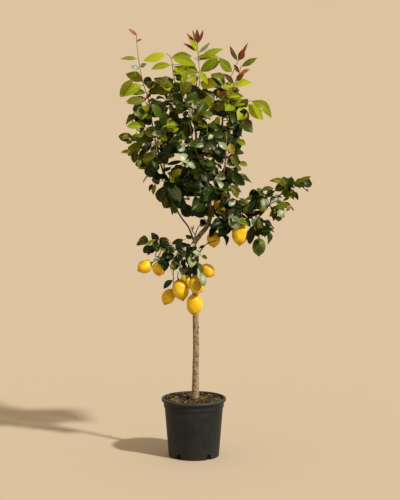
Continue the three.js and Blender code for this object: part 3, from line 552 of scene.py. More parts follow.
def bezier(start, knee, end, share):
    share = np.reshape(share, (-1, 1))
    return start * (1 - share) ** 2 + knee * 2 * share * (1 - share) + end * share ** 2


# Twigs as (start, knee, end); a knee bends until its twig is clear of fruits, wood and other sprays
def sprayTwigs(name, root, tips, rods):
    twigs = []
    for tip in tips:
        isFirst = not twigs
        end = array(tip)
        start = pointAt(limbs[root[0]], root[1])
        if not isFirst:
            start = bezier(*twigs[0], stem["sideTwigAt"] + stem["sideTwigStep"] * (len(twigs) - 1))[0]
        length = np.linalg.norm(end - start)
        sideways = unit(np.cross(end - start, (0, 0, 1)))
        for aside, lift in stem["twigBends"]:
            knee = (start + end) / 2 + sideways * aside * length + array((0, 0, lift * length))
            points = bezier(start, knee, end, np.linspace(0, 1, stem["twigSteps"] + 1))
            stretches = list(zip(points, points[1:]))
            keep = stem["twigRadius"] + stem["clearance"]
            isClearOfFruits = all(
                stretchDistance(a, b, *fruitEnds(fruit)) > fruit["width"] / 2 + keep
                for a, b in stretches for fruit in fruits)
            isClearOfWood = all(
                owner == name or (isFirst and i == 0 and owner == "wood")
                or stretchDistance(a, b, c, d) > radius + keep
                for i, (a, b) in enumerate(stretches) for c, d, radius, owner in rods)
            if isClearOfFruits and isClearOfWood:
                twigs.append((start, knee, end))
                radii = np.linspace(stem["twigRadius"], stem["twigTipRadius"], len(points))
                addRods([(*p, r) for p, r in zip(points, radii)], name, rods)
                break
    return twigs


def addRods(points, owner, rods):
    for p, q in zip(points, points[1:]):
        rods.append((array(p[:3]), array(q[:3]), max(p[3], q[3]), owner))


def planTwigs():
    rods = []
    for points in limbs.values():
        addRods(points, "wood", rods)
    for fruit in fruits:
        addRods(stalkPoints(fruit), "wood", rods)
    for name in shoots:
        addRods(shootStem(name), name, rods)
    sprays = {**crownSprays(), **branchSprays}
    return {name: sprayTwigs(name, root, tips, rods) for name, (root, tips) in sprays.items()}


twigPlan = planTwigs()
print("tree planned:", sum(len(t) for t in twigPlan.values()), "twigs")

# ---- tubes of wood


# Smooth tubes as one mesh, each given as (points, radii) in mm
def tubes(name, lines, sides):
    curve = bpy.data.curves.new(name, "CURVE")
    curve.dimensions = "3D"
    curve.bevel_depth = mm
    curve.bevel_resolution = sides // 2 - 2
    curve.use_fill_caps = True
    for points, radii in lines:
        spline = curve.splines.new("POLY")
        spline.points.add(len(points) - 1)
        for target, point, radius in zip(spline.points, points, radii):
            target.co = (*(point * mm), 1)
            target.radius = radius
    selectOnly(newObject(name, curve))
    bpy.ops.object.convert(target="MESH")
    piece = bpy.context.object
    bpy.ops.object.shade_smooth()
    return piece


# ---- bark

bark = {
    "patches": ("#43382A", "#786650", "#96826A", "#786650"),
    "scar": "#2E2419",
    "thin": ("#2C2017", "#3F2F21", "#57452F"),
    "green": ("#3C3A22", "#525A30", "#6C7844"),
    "blotch": 16, "streak": 3, "scarSize": 9, "grain": 1.2,     # mm
    "stretch": 0.35,     # cracks are longer up the stem by one over this
    "sides": 20,
    "spacing": 4,
    "lump": 9, "lumpHeight": 1.6,                               # mm
    "thinRadius": 3.5,   # limbs that start thinner than this still have dark young bark
    "collar": (0.35, 12),   # how much wider a limb starts, as a share, and over how many mm
    # knots that pruned shoots left: height, the way they face in degrees from the right, and radius
    "knots": [
        (258, -70, 3), (330, 200, 3.6), (352, -30, 3.2), (420, -120, 3.4), (481, -15, 3.6), (540, -150, 3),
    ],
    "knotOut": (-6, -0.5, 1.2, 2),         # mm from the bark, for each point of a knot, and its radius there
    "knotShares": (1.6, 1.3, 1, 0.5),
    "knotLift": 0.3,
    "stalkSides": 12, "stalkSpacing": 3,
}


# Citrus bark: thin, grey-brown, with fine lengthwise cracks and dark scars; dull
def barkMaterial():
    material, add, place = newMaterial("citrusBark", {"Roughness": 0.82, "IOR": 1.45})
    stretched = (add("Mapping", {"Scale": (1, 1, bark["stretch"])}, {"Vector": place}), "Vector")
    blotch = add("TexNoise", {"Scale": perMm(bark["blotch"]), "Detail": 3.0}, {"Vector": place})
    streak = add("TexNoise", {"Scale": perMm(bark["streak"]), "Detail": 5.0}, {"Vector": stretched})
    both = add("Mix", {"Factor": 0.5}, {"A": (blotch, "Fac"), "B": (streak, "Fac")})
    stops = zip((0.38, 0.46, 0.54, 0.66), bark["patches"])
    colour = add("ValToRGB", {"stops": stops}, {"Fac": (both, "Result")})
    scar = add("TexNoise", {"Scale": perMm(bark["scarSize"]), "Detail": 2.0}, {"Vector": place})
    scarred = add("MapRange", {"From Min": 0.55, "From Max": 0.63, "To Max": 0.75}, {"Value": (scar, "Fac")})
    dark = add("Mix", {"data_type": "RGBA", mixTo: linear(bark["scar"])},
               {mixShare: (scarred, "Result"), mixFrom: (colour, "Color")})
    grain = add("TexNoise", {"Scale": perMm(bark["grain"]), "Detail": 4.0}, {"Vector": stretched})
    relief = add("Mix", {"Factor": 0.5}, {"A": (streak, "Fac"), "B": (grain, "Fac")})
    bump = add("Bump", {"Strength": 0.8, "Distance": 0.8 * mm}, {"Height": (relief, "Result")})
    return patterned(material, {"Base Color": (dark, mixed), "Normal": (bump, "Normal")})


# Smooth young bark: dark brown on limbs, green on twigs and fruit stalks
def youngBarkMaterial(name, colours):
    material, add, place = newMaterial(name, {"Roughness": 0.55, "IOR": 1.45, "Specular IOR Level": 0.35})
    tint = add("TexNoise", {"Scale": perMm(bark["blotch"]), "Detail": 2.0}, {"Vector": place})
    colour = add("ValToRGB", {"stops": zip((0.35, 0.5, 0.65), colours)}, {"Fac": (tint, "Fac")})
    return patterned(material, {"Base Color": (colour, "Color")})


def clouds(name, size):
    texture = bpy.data.textures.new(name, "CLOUDS")
    texture.noise_scale = size * mm
    texture.noise_depth = 2
    return texture


def makeWood():
    thick, thin = [], []
    for points in limbs.values():
        line, radii = smoothLine(points, bark["spacing"])
        # a collar where a limb leaves the wood that carries it
        if points is not limbs["trunk"]:
            swell, reach = bark["collar"]
            radii = radii * (1 + swell * np.exp(-np.linalg.norm(line - line[0], axis=1) / reach))
        (thin if points[0][3] < bark["thinRadius"] else thick).append((line, radii))
    line, radii = thick[0]
    for height, facing, size in bark["knots"]:
        i = np.argmin(abs(line[:, 2] - height))
        turn = math.radians(facing)
        outwards = array((math.cos(turn), math.sin(turn), bark["knotLift"]))
        knot = [line[i] + outwards * (radii[i] + out) for out in bark["knotOut"]]
        thick.append((array(knot), size * array(bark["knotShares"])))
    wood = tubes("trunk_and_branches_bark", thick, bark["sides"])
    limbBark = tubes("trunk_and_branches_young_limbs", thin, bark["sides"])
    for piece, share in ((wood, 1), (limbBark, 0.5)):
        addLumps(piece, clouds("barkLumps", bark["lump"]), bark["lumpHeight"] * share)
    stalkLines = [smoothLine(stalkPoints(fruit), bark["stalkSpacing"]) for fruit in fruits]
    stalks = tubes("trunk_and_branches_stalks", stalkLines, bark["stalkSides"])
    finish(wood, barkMaterial(), "bark", "trunk_and_branches")
    finish(limbBark, youngBarkMaterial("youngLimbBark", bark["thin"]), "bark", "trunk_and_branches")
    finish(stalks, twigBark, "bark", "trunk_and_branches")


twigBark = youngBarkMaterial("greenTwigBark", bark["green"])
makeWood()
print("wood made")

# ---- fruits

rind = {
    # peel in its pale, middle and deep patches, towards the nipple, and round the stalk
    "ripe": ("#DEC02C", "#D4B21C", "#CAA010", "#B07C0A", "#8E8420"),
    "unripe": ("#55700F", "#43580C", "#2A3A08", "#384A0A", "#4A5C14"),
    "pore": 1.3,        # mm between oil glands, real ones are about 1
    "patch": 22,
    "spinSteps": 36,
    "lump": 26, "lumpHeight": 1.8,
    "dimple": 2.6, "dimpleHeight": 0.28,
    # half-width along the fruit, as shares of its width and length
    "outline": [
        (0, 0.035), (0.06, 0.022), (0.13, 0.0), (0.21, 0.012), (0.29, 0.05), (0.375, 0.115), (0.44, 0.2),
        (0.485, 0.31), (0.498, 0.43), (0.492, 0.55), (0.455, 0.67), (0.385, 0.77), (0.29, 0.85),
        (0.19, 0.905), (0.125, 0.935), (0.092, 0.96), (0.07, 0.985), (0.035, 0.998), (0, 1),
    ],
    # one fruit has a round, sunken scar on its face: which way it looks, its radius, depth and rim
    "scarred": "lemon_05", "scarFacing": (-0.12, -0.97, 0.12),
    "scarRadius": 17, "scarDepth": 3, "scarRim": 0.8, "scarEdge": 2.5, "scarRimWidth": 2,
    # where the nipple's colour starts, over how much of the length it deepens and how strong it gets, and
    # the last two for the stalk end's colour
    "nippleFrom": 0.76, "nippleOver": 0.18, "nippleAmount": 0.75, "stalkOver": 0.12, "stalkAmount": 0.6,
    "sepals": 5, "sepalNotch": 0.55, "calyxRadius": 6.8, "calyxRise": 0.4, "calyxThickness": 0.9,
    "calyxSink": 0.2, "calyxColour": "#5C6A2A",
}


# Lemon peel: waxy and dimpled by its oil glands, with a soft sheen
def rindMaterial(name, colours):
    material, add, place = newMaterial(name, {
        "Roughness": 0.4, "IOR": 1.46, "Specular IOR Level": 0.3, "Subsurface Weight": 0.06,
        "Subsurface Scale": 3 * mm, "Subsurface Radius": (1, 0.6, 0.15)})
    pale, middle, deep, nipple, stalk = colours
    patch = add("TexNoise", {"Scale": perMm(rind["patch"]), "Detail": 3.0}, {"Vector": place})
    colour = add("ValToRGB", {"stops": [(0.35, deep), (0.5, middle), (0.62, pale)]}, {"Fac": (patch, "Fac")})
    base = (colour, "Color")
    for attribute, tint in (("deep", nipple), ("stalkward", stalk)):
        amount = add("Attribute", {"attribute_name": attribute})
        tinted = add("Mix", {"data_type": "RGBA", mixTo: linear(tint)},
                     {mixShare: (amount, "Fac"), mixFrom: base})
        base = (tinted, mixed)
    pores = add("TexVoronoi", {"Scale": perMm(rind["pore"]), "feature": "SMOOTH_F1"}, {"Vector": place})
    bump = add("Bump", {"Strength": 0.4, "Distance": 0.3 * mm}, {"Height": (pores, "Distance")})
    return patterned(material, {"Base Color": base, "Normal": (bump, "Normal")})


# The calyx's five sepals, cupped round the stalk: a fan whose alternate corners are pulled in
def modelCalyx():
    deselectAll()
    count = 2 * rind["sepals"]
    bpy.ops.mesh.primitive_circle_add(vertices=count, radius=1, fill_type="TRIFAN")
    calyx = bpy.context.object
    bpy.ops.object.mode_set(mode="EDIT")
    selectWhere(calyx, lambda co: co.length > 0.5
                and round(math.atan2(co.y, co.x) * count / (2 * math.pi)) % 2)
    bpy.ops.transform.resize(value=(rind["sepalNotch"], rind["sepalNotch"], 1), center_override=(0, 0, 0))
    selectWhere(calyx, lambda co: co.length < 0.1)
    bpy.ops.transform.translate(value=(0, 0, -rind["calyxRise"]))
    bpy.ops.object.mode_set(mode="OBJECT")
    calyx.scale = [rind["calyxRadius"]] * 3
    applyPlace(calyx)
    applyModifier(calyx, "SOLIDIFY", {"thickness": rind["calyxThickness"], "offset": 0})
    return calyx


# Presses the scar in and returns how much each vertex is on its rim and inside it
def pressScar(piece, centre):
    facing = unit(array(rind["scarFacing"]))
    corners = array([v.co for v in piece.data.vertices]) / mm
    onAxis = (corners - centre) @ facing
    away = np.linalg.norm(corners - centre - np.outer(onAxis, facing), axis=1) - rind["scarRadius"]
    inside = np.clip(0.5 - away / rind["scarEdge"], 0, 1) * (onAxis > 0)
    width = rind["scarRimWidth"]
    rim = rind["scarRim"] * np.exp(-((away - width) / width) ** 2) * (onAxis > 0)
    pressed = corners + np.outer(rim - rind["scarDepth"] * inside, facing)
    piece.data.vertices.foreach_set("co", (pressed * mm).ravel())
    return np.exp(-(away / width) ** 2) * (onAxis > 0), inside


# Turns Z to an axis
def turnedTo(axis):
    side = unit(np.cross(axis, (0.3, 1, 0.1)))
    return np.stack([side, np.cross(axis, side), axis], axis=1)


def makeFruits():
    ripe = rindMaterial("lemonPeel", rind["ripe"])
    unripe = rindMaterial("greenLemonPeel", rind["unripe"])
    lump, dimple = clouds("fruitLumps", rind["lump"]), clouds("peelDimples", rind["dimple"])
    calyxes = []
    for node, fruit in zip(fruitNames, fruits):
        first, last = fruitEnds(fruit)
        length = np.linalg.norm(last - first)
        axis = (last - first) / length
        profile = [(across * fruit["width"], along * length) for across, along in rind["outline"]]
        piece = spun(node + "_peel", profile, rind["spinSteps"])
        applyModifier(piece, "SUBSURF", {"levels": 1, "render_levels": 1})
        along = array([v.co.z for v in piece.data.vertices]) / (length * mm)
        deep = rind["nippleAmount"] * np.clip((along - rind["nippleFrom"]) / rind["nippleOver"], 0, 1)
        stalkward = rind["stalkAmount"] * np.clip(1 - along / rind["stalkOver"], 0, 1)
        piece.rotation_euler = (math.acos(axis[2]), 0, math.atan2(axis[1], axis[0]) + math.pi / 2)
        piece.location = first * mm
        applyPlace(piece)
        if node == rind["scarred"]:
            scarRim, scar = pressScar(piece, (first + last) / 2)
            deep, stalkward = np.maximum(0.5 * deep, scarRim), np.maximum(stalkward, 0.7 * scar)
        for name, values in (("deep", deep), ("stalkward", stalkward)):
            piece.data.attributes.new(name, "FLOAT", "POINT").data.foreach_set("value", values)
        for texture, height in ((lump, rind["lumpHeight"]), (dimple, rind["dimpleHeight"])):
            addLumps(piece, texture, height)
        bpy.ops.object.shade_smooth()
        green = node == "lemon_green"
        finish(piece, unripe if green else ripe, "rind_green" if green else "rind", node)
        calyxes.append((turnedTo(axis) * mm, (first - axis * rind["calyxSink"]) * mm, 0))
    # Lemon calyx: leathery, dull green
    sepals = plainMaterial("lemonCalyx", {"Roughness": 0.6, "Base Color": linear(rind["calyxColour"])})
    finish(copies("calyxes", modelCalyx(), calyxes), sepals, "bark")


makeFruits()
print("fruits made")

# ---- leaves

# Where the cross sections of the solids' leaves stand along them, and their midrib's thickness in mm
solidLeaf = {"stations": (0.42, 0.74), "thickness": 1.6, "tolerance": 0.02}


# The leaves of a CAD node, each found by its tip: the only corner that is joined to just the left, right,
# top and underside of the last cross section
def readLeaves(node):
    mesh = bmesh.new()
    mesh.from_mesh(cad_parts[node].data)
    bmesh.ops.remove_doubles(mesh, verts=mesh.verts, dist=1e-6)
    near = {v: {e.other_vert(v) for e in v.link_edges} for v in mesh.verts}
    thickness = solidLeaf["thickness"] * mm

    def isMidrib(a, b):
        return abs((a.co - b.co).length - thickness) < solidLeaf["tolerance"] * thickness

    leaves = []
    for tip in mesh.verts:
        ring = list(near[tip])
        if len(ring) != 4:
            continue
        pairs = [(a, b) for i, a in enumerate(ring) for b in ring[i + 1:] if b not in near[a]]
        if len(pairs) != 2:
            continue
        pairs.sort(key=lambda pair: (pair[0].co - pair[1].co).length)
        (top, under), (left, right) = pairs
        beyond = [near[v] - {left, right, tip, top, under} for v in (top, under)]
        if not isMidrib(top, under) or len(beyond[0]) != 1 or len(beyond[1]) != 1:
            continue
        (innerTop,), (innerUnder,) = beyond
        edges = [near[v] - {tip, top, under, innerTop, innerUnder} for v in (left, right)]
        if not isMidrib(innerTop, innerUnder) or len(edges[0]) != 1 or len(edges[1]) != 1:
            continue
        (innerLeft,), (innerRight,) = edges
        found = (tip, top, under, innerTop, innerUnder, innerLeft, innerRight)
        leaves.append(leafFromCorners(*[array(v.co) / mm for v in found]))
    mesh.free()
    return leaves


# Its middle line is root + s * run + s (1 - s) * rise, so three of its points give both vectors
def leafFromCorners(tip, top, under, innerTop, innerUnder, innerLeft, innerRight):
    s, t = solidLeaf["stations"]
    middles = array([(innerTop + innerUnder) / 2, (top + under) / 2])
    run, rise = np.linalg.solve([[s - 1, s * (1 - s)], [t - 1, t * (1 - t)]], middles - tip)
    length = np.linalg.norm(run)
    up = unit((innerLeft + innerRight) / 2 - middles[0])
    side = unit(np.cross(run, up))
    return {
        "root": tip - run,
        "tip": tip,
        "up": np.cross(side, unit(run)),
        "width": abs((innerLeft - innerRight) @ side),
        "arch": np.linalg.norm(rise) / (4 * length),
    }


# The leaf blades, modelled once each: places along, and the half-widths there, as shares of length and width
leafForms = {
    "crown": ((0, 0.12, 0.22, 0.4, 0.58, 0.76, 0.91, 1), (0.026, 0.03, 0.27, 0.46, 0.5, 0.425, 0.24, 0.02)),
    "oval": ((0, 0.12, 0.2, 0.36, 0.54, 0.73, 0.89, 1), (0.026, 0.03, 0.2, 0.42, 0.5, 0.43, 0.22, 0.015)),
    "young": ((0, 0.08, 0.18, 0.34, 0.52, 0.7, 0.87, 1), (0.03, 0.035, 0.24, 0.44, 0.5, 0.4, 0.2, 0.012)),
    "red": ((0, 0.08, 0.2, 0.36, 0.53, 0.7, 0.87, 1), (0.05, 0.07, 0.3, 0.47, 0.5, 0.4, 0.2, 0.015)),
}
leafColumns = 4
leafThickness = 0.5   # mm at the midrib
leafEdge = 0.25       # the share of it that is left beside the edges


# A grid primitive whose rows are moved and narrowed in edit mode, with an underside that shares its edge.
# "layer" is 1 on top, -1 below and 0 at the edge; "midShare" is 1 at the midrib and 0 at the edge.
def modelLeaf(rows):
    deselectAll()
    bpy.ops.mesh.primitive_grid_add(x_subdivisions=leafColumns, y_subdivisions=len(rows) - 1, size=1)
    piece = bpy.context.object
    bpy.ops.object.mode_set(mode="EDIT")
    for i, (along, half) in enumerate(rows):
        height = i / (len(rows) - 1) - 0.5
        selectWhere(piece, lambda co: abs(co.y - height) < 1e-4 and abs(co.z) < 0.5)
        bpy.ops.transform.resize(value=(2 * half, 1, 1), center_override=(0, 0, 0))
        bpy.ops.transform.translate(value=(0, along - height, 1))
    bpy.ops.mesh.select_all(action="SELECT")
    bpy.ops.transform.translate(value=(0, 0, -1))
    bpy.ops.object.mode_set(mode="OBJECT")
    corners = array([v.co for v in piece.data.vertices])
    faces = [tuple(p.vertices) for p in piece.data.polygons]
    uvs = array([loop.uv for loop in piece.data.uv_layers.active.data])
    bpy.data.objects.remove(piece)
    width = len(rows) * (leafColumns + 1)
    columns = np.arange(width) % (leafColumns + 1)
    row = np.arange(width) // (leafColumns + 1)
    isRim = (columns == 0) | (columns == leafColumns) | (row == 0) | (row == len(rows) - 1)
    lower = np.where(isRim, np.arange(width), width + np.cumsum(~isRim) - 1)
    under = [tuple(int(lower[v]) for v in reversed(face)) for face in faces]
    uvUnder = uvs.reshape(-1, 4, 2)[:, ::-1].reshape(-1, 2)
    inner = ~isRim
    midShare = 1 - abs(columns - leafColumns / 2) / (leafColumns / 2)
    return {
        "corners": np.vstack([corners[:, :2], corners[inner, :2]]),
        "layer": np.concatenate([np.where(inner, 1.0, 0.0), np.full(inner.sum(), -1.0)]),
        "faces": array(faces + under).astype(int),
        "uvs": np.vstack([uvs, uvUnder]),
        "isUnder": np.concatenate([np.zeros(len(faces)), np.ones(len(under))]),
        "midShare": np.concatenate([midShare, midShare[inner]]),
    }


modelledLeaves = {name: modelLeaf(list(zip(*form))) for name, form in leafForms.items()}


# A leaf's corners in place, in mm: folded up along its midrib, arched, waved and twisted a little
def placedLeaf(form, leaf, draw):
    across, along = form["corners"].T
    run = leaf["tip"] - leaf["root"]
    length = np.linalg.norm(run)
    ahead = run / length
    side = unit(np.cross(ahead, leaf["up"]))
    up = np.cross(side, ahead)
    reach = abs(across) * leaf["width"]
    lift = leaf["arch"] * length * 4 * along * (1 - along)
    lift = lift + leaf["fold"] * reach * (0.5 + reach / leaf["width"])
    phase = 2 * math.pi * draw()
    waving = np.sin(leaf["waves"] * math.pi * along + phase)
    lift = lift + leaf["wave"] * leaf["width"] * (2 * across) ** 2 * waving
    twist = leaf["twist"] * (draw() - 0.5) * along
    thick = leafThickness * form["layer"] * mix(leafEdge, 1, form["midShare"])
    aside = across * leaf["width"]
    bend = leaf["bend"] * (draw() - 0.5) * length * 4 * along * (1 - along)
    lateral = aside * np.cos(twist) + bend
    lift = lift + aside * np.sin(twist) + thick
    return leaf["root"] + np.outer(along * length, ahead) + np.outer(lateral, side) + np.outer(lift, up)


# One mesh of many leaves; each face has its leaf's tone and, as its material index, its leaf's look
def leafMesh(name, leaves, seed):
    draw = seededDraws(seed)
    used = sorted({leaf["look"] for leaf in leaves})
    corners, faces, uvs, tones, unders, looks = [], [], [], [], [], []
    first = 0
    for leaf in leaves:
        form = modelledLeaves[leaf["form"]]
        placed = placedLeaf(form, leaf, draw)
        corners.append(placed * mm)
        faces.append(form["faces"] + first)
        uvs.append(form["uvs"])
        tones.append(np.full(len(form["faces"]), leaf["tone"]))
        looks.append(np.full(len(form["faces"]), used.index(leaf["look"])))
        unders.append(form["isUnder"])
        first += len(placed)
    mesh = bpy.data.meshes.new(name)
    mesh.from_pydata(np.vstack(corners).tolist(), [], np.vstack(faces).tolist())
    mesh.polygons.foreach_set("material_index", np.concatenate(looks))
    layer = mesh.uv_layers.new(name="UVMap")
    layer.data.foreach_set("uv", np.vstack(uvs).ravel())
    for attribute, values in (("tone", tones), ("underside", unders)):
        mesh.attributes.new(attribute, "FLOAT", "FACE").data.foreach_set("value", np.concatenate(values))
    piece = newObject(name, mesh)
    selectOnly(piece)
    bpy.ops.object.shade_smooth_by_angle(angle=math.radians(blade["smoothAngle"]))
    return piece, [leafMaterials[look] for look in used]


# Each look: the blade's shades from deep to bright, its midrib, and its underside. Dark, olive and lit are
# deeper and paler copies of the grown leaf, partly the leaves' own spread of colour and partly painted shade
# and painted sunlight; grey's pale grey-green paints a sheen on the waxy top, besides its real shine
leafLooks = {
    "dark": ("#060D03", "#132107", "#26380A", "#405612", "#304218", "#405026"),
    "olive": ("#2C3006", "#444806", "#5E6208", "#7A7E10", "#707826", "#646E2E"),
    "lit": ("#465606", "#5E720A", "#80900C", "#A0AC1A", "#94A238", "#768430"),
    "young": ("#485004", "#606806", "#788408", "#929E14", "#9CA840", "#7E8A2C"),
    "grey": ("#3A4C32", "#526644", "#6A7E5C", "#869A7C", "#7C8E66", "#6A7A56"),
    "bronze": ("#301F08", "#4C340C", "#684E12", "#7C6E18", "#7C6C36", "#604C28"),
    "red": ("#3E120A", "#5E1E18", "#78341A", "#844C1E", "#845238", "#643224"),
}
blade = {
    "roughness": 0.38, "underRoughness": 0.65, "specular": 0.16,
    "waxySpecular": 0.45,         # of the leaves that shine in the sun
    "mottle": 9,                  # mm
    "mottleAmount": 0.35,
    # where the midrib and a side vein start and end fading out, as shares of the blade and of their spacing
    "midrib": (0.02, 0.06), "vein": (0.0, 0.09),
    "midribAmount": 0.6, "veinAmount": 0.22, "underAmount": 0.6,
    "veinPairs": 9, "veinSlant": 0.45,
    "relief": 0.4,                # mm
    "smoothAngle": 75,
}


# Citrus leaf: leathery with a waxy cuticle on top, paler and duller below, with a light midrib
def leafMaterial(name, colours):
    material, add, place = newMaterial(name + "CitrusLeaf", {
        "Roughness": blade["roughness"], "IOR": 1.48,
        "Specular IOR Level": blade["waxySpecular" if name == "grey" else "specular"],
        "Subsurface Weight": 0.08, "Subsurface Scale": 1 * mm, "Subsurface Radius": (0.6, 1, 0.2)})
    *shades, ribColour, underColour = colours
    tone = add("Attribute", {"attribute_name": "tone"})
    under = add("Attribute", {"attribute_name": "underside"})
    mottle = add("TexNoise", {"Scale": perMm(blade["mottle"]), "Detail": 3.0}, {"Vector": place})
    amount = blade["mottleAmount"]
    shift = add("Math", {"operation": "MULTIPLY_ADD", 1: amount, 2: -amount / 2}, {0: (mottle, "Fac")})
    toned = add("Math", {"operation": "ADD"}, {0: (tone, "Fac"), 1: (shift, "Value")})
    colour = add("ValToRGB", {"stops": zip((0, 0.45, 0.8, 1), shades)}, {"Fac": (toned, "Value")})

    # veins on the leaf's own UVs: the midrib, and side veins that slant towards the tip
    spot = add("UVMap", {"uv_map": "UVMap"})
    parts = add("SeparateXYZ", links={"Vector": (spot, "UV")})
    centred = add("Math", {"operation": "SUBTRACT", 1: 0.5}, {0: (parts, "X")})
    aside = add("Math", {"operation": "ABSOLUTE"}, {0: (centred, "Value")})
    slant = add("Math", {"operation": "MULTIPLY_ADD", 1: -blade["veinSlant"]},
                {0: (aside, "Value"), 2: (parts, "Y")})
    count = add("Math", {"operation": "MULTIPLY", 1: float(blade["veinPairs"])}, {0: (slant, "Value")})
    saw = add("Math", {"operation": "PINGPONG", 1: 0.5}, {0: (count, "Value")})
    lines = []
    for source, (start, end), strength in (
            (aside, blade["midrib"], blade["midribAmount"]), (saw, blade["vein"], blade["veinAmount"])):
        lines.append(add("MapRange", {"From Min": start, "From Max": end, "To Min": strength, "To Max": 0.0},
                         {"Value": (source, "Value")}))
    veins = add("Math", {"operation": "MAXIMUM"}, {0: (lines[0], "Result"), 1: (lines[1], "Result")})
    veined = add("Mix", {"data_type": "RGBA", mixTo: linear(ribColour)},
                 {mixShare: (veins, "Value"), mixFrom: (colour, "Color")})
    below = add("Math", {"operation": "MULTIPLY", 1: blade["underAmount"]}, {0: (under, "Fac")})
    sides = add("Mix", {"data_type": "RGBA", mixTo: linear(underColour)},
                {mixShare: (below, "Value"), mixFrom: (veined, mixed)})
    dull = add("MapRange", {"To Min": blade["roughness"], "To Max": blade["underRoughness"]},
               {"Value": (under, "Fac")})
    bump = add("Bump", {"Strength": 0.5, "Distance": blade["relief"] * mm, "invert": True},
               {"Height": (veins, "Value")})
    return patterned(material, {
        "Base Color": (sides, mixed), "Roughness": (dull, "Result"), "Normal": (bump, "Normal")})


leafMaterials = {name: leafMaterial(name, colours) for name, colours in leafLooks.items()}

# ---- where leaves go

foliage = {
    "extraLeaves": 9,          # on each twig, between the solids' leaves
    "extraLength": (42, 24),   # the least and how much more, in mm
    "branchLength": (30, 20),
    "extraWidth": (0.5, 0.16), "extraArch": (0.04, 0.1),
    "extraPlace": (0.12, 0.86),   # where they start on a twig, and the share of it that they stand along
    "spread": (0.8, 0.5),         # radians between a twig and its leaves
    "hang": 0.45,
    # the way that leaves face the light, and how much they do so and look outwards
    "lightSide": (0.45, -0.8, 0.4), "lightShare": 0.8, "outShare": 0.5,
    # how leaves are folded, waved, twisted and bent; the young and the shining ones are flatter
    "fold": (0.22, 0.5), "flatFold": (0.1, 0.2), "wave": (0.03, 0.05), "waves": (2.5, 2),
    "twist": 0.9, "bend": 0.16, "crownShare": 0.6, "youngArch": 0.4, "youngArchTo": 205,
    "sunlitFrom": 950, "sunlitOver": 500, "tone": (0.1, 0.9), "toneCurve": 1.6,
    # the way that leaves read from the photo face, and how much nearer to the front the ones that shine are
    "sunlit": (0.15, -0.95, 0.4), "shaded": (-0.3, -0.9, 0.15), "shineStep": 14,
    "wander": 0.4, "frontArch": (0.03, 0.07), "frontSteps": (6, 100, 12), "frontTip": -8, "frontPull": 0.3,
    "twigletRadii": (0.9, 0.7), "lineSteps": 14,
    "fruitClearance": 3,
    # how far a leaf reaches to each side of its samples, as a share of its width, and the radius that random
    # leaves leave free round samples of a fruit and a front leaf, as shares of its width and its length
    "sideShare": 0.25, "fruitSpot": 0.42, "leafSpot": 0.35,
    "boxMargin": 8,
    "sides": 8,
    # more twigs between the solids' ones: how many of them and how far out they reach, the leaves on each,
    # the least distance from the wood they start at, and what a shorter one adds to its cost
    "fillShells": [(42, 0.97), (30, 0.7), (12, 0.4)], "fillTurn": 5,
    "fillLeaves": 6, "fillLeast": 22, "tooNear": 1000, "fillRadii": (1.3, 0.7),
}

# Looks to draw from in a part of the tree: the first row whose x is more and whose z is less. The rows paint
# light and shade as well as the leaves' own colour: the top and the left of the crown draw the paler looks,
# the middle and the bottom mostly the dark one, and grey adds painted sheen here and there
lookZones = [
    (999, 1330, "lit olive olive olive olive dark dark"),
    (999, 1235, "olive olive dark dark dark dark lit"),
    (-170, 1000, "olive olive lit olive dark"),
    (999, 1060, "dark dark dark dark dark dark dark dark grey olive"),
    (170, 960, "dark dark dark dark dark dark dark dark grey olive"),
    (170, 0, "dark dark dark dark dark dark dark olive"),
    (999, 0, "dark dark olive dark dark olive lit"),
]

# The looks of the young shoots' leaves by the (x, z) of their tips; the rest are young, or red on shoot tips
shootLooks = {
    "lit": [
        (-266, 1471), (-268, 1333), (-181, 1466), (-155, 1434), (9, 1448), (-12, 1386), (107, 1508),
        (213, 1384), (182, 1336), (103, 1366), (92, 1477), (-21, 1546), (253, 1251), (160, 1250), (174, 1301),
        (-6, 1482),
    ],
    "olive": [
        (88, 1376), (-248, 1417), (-238, 1348), (-98, 1397), (-108, 1346), (-124, 1375), (-145, 1402),
        (-96, 1330), (-35, 1379), (-46, 1352), (62, 1334), (82, 1346), (60, 1310), (60, 1342), (176, 1322),
        (86, 1364), (22, 1330), (122, 1296), (181, 1508), (230, 1476), (-242, 1310),
    ],
    "grey": [(-228, 1445), (-169, 1454), (60, 1533)],
    "bronze": [(11, 1580), (183, 1420), (132, 1520), (200, 1236), (103, 1420)],
    "red": [(205, 1436), (198, 1531), (121, 1360), (145, 1453)],
    "dark": [(141, 1239)],
}

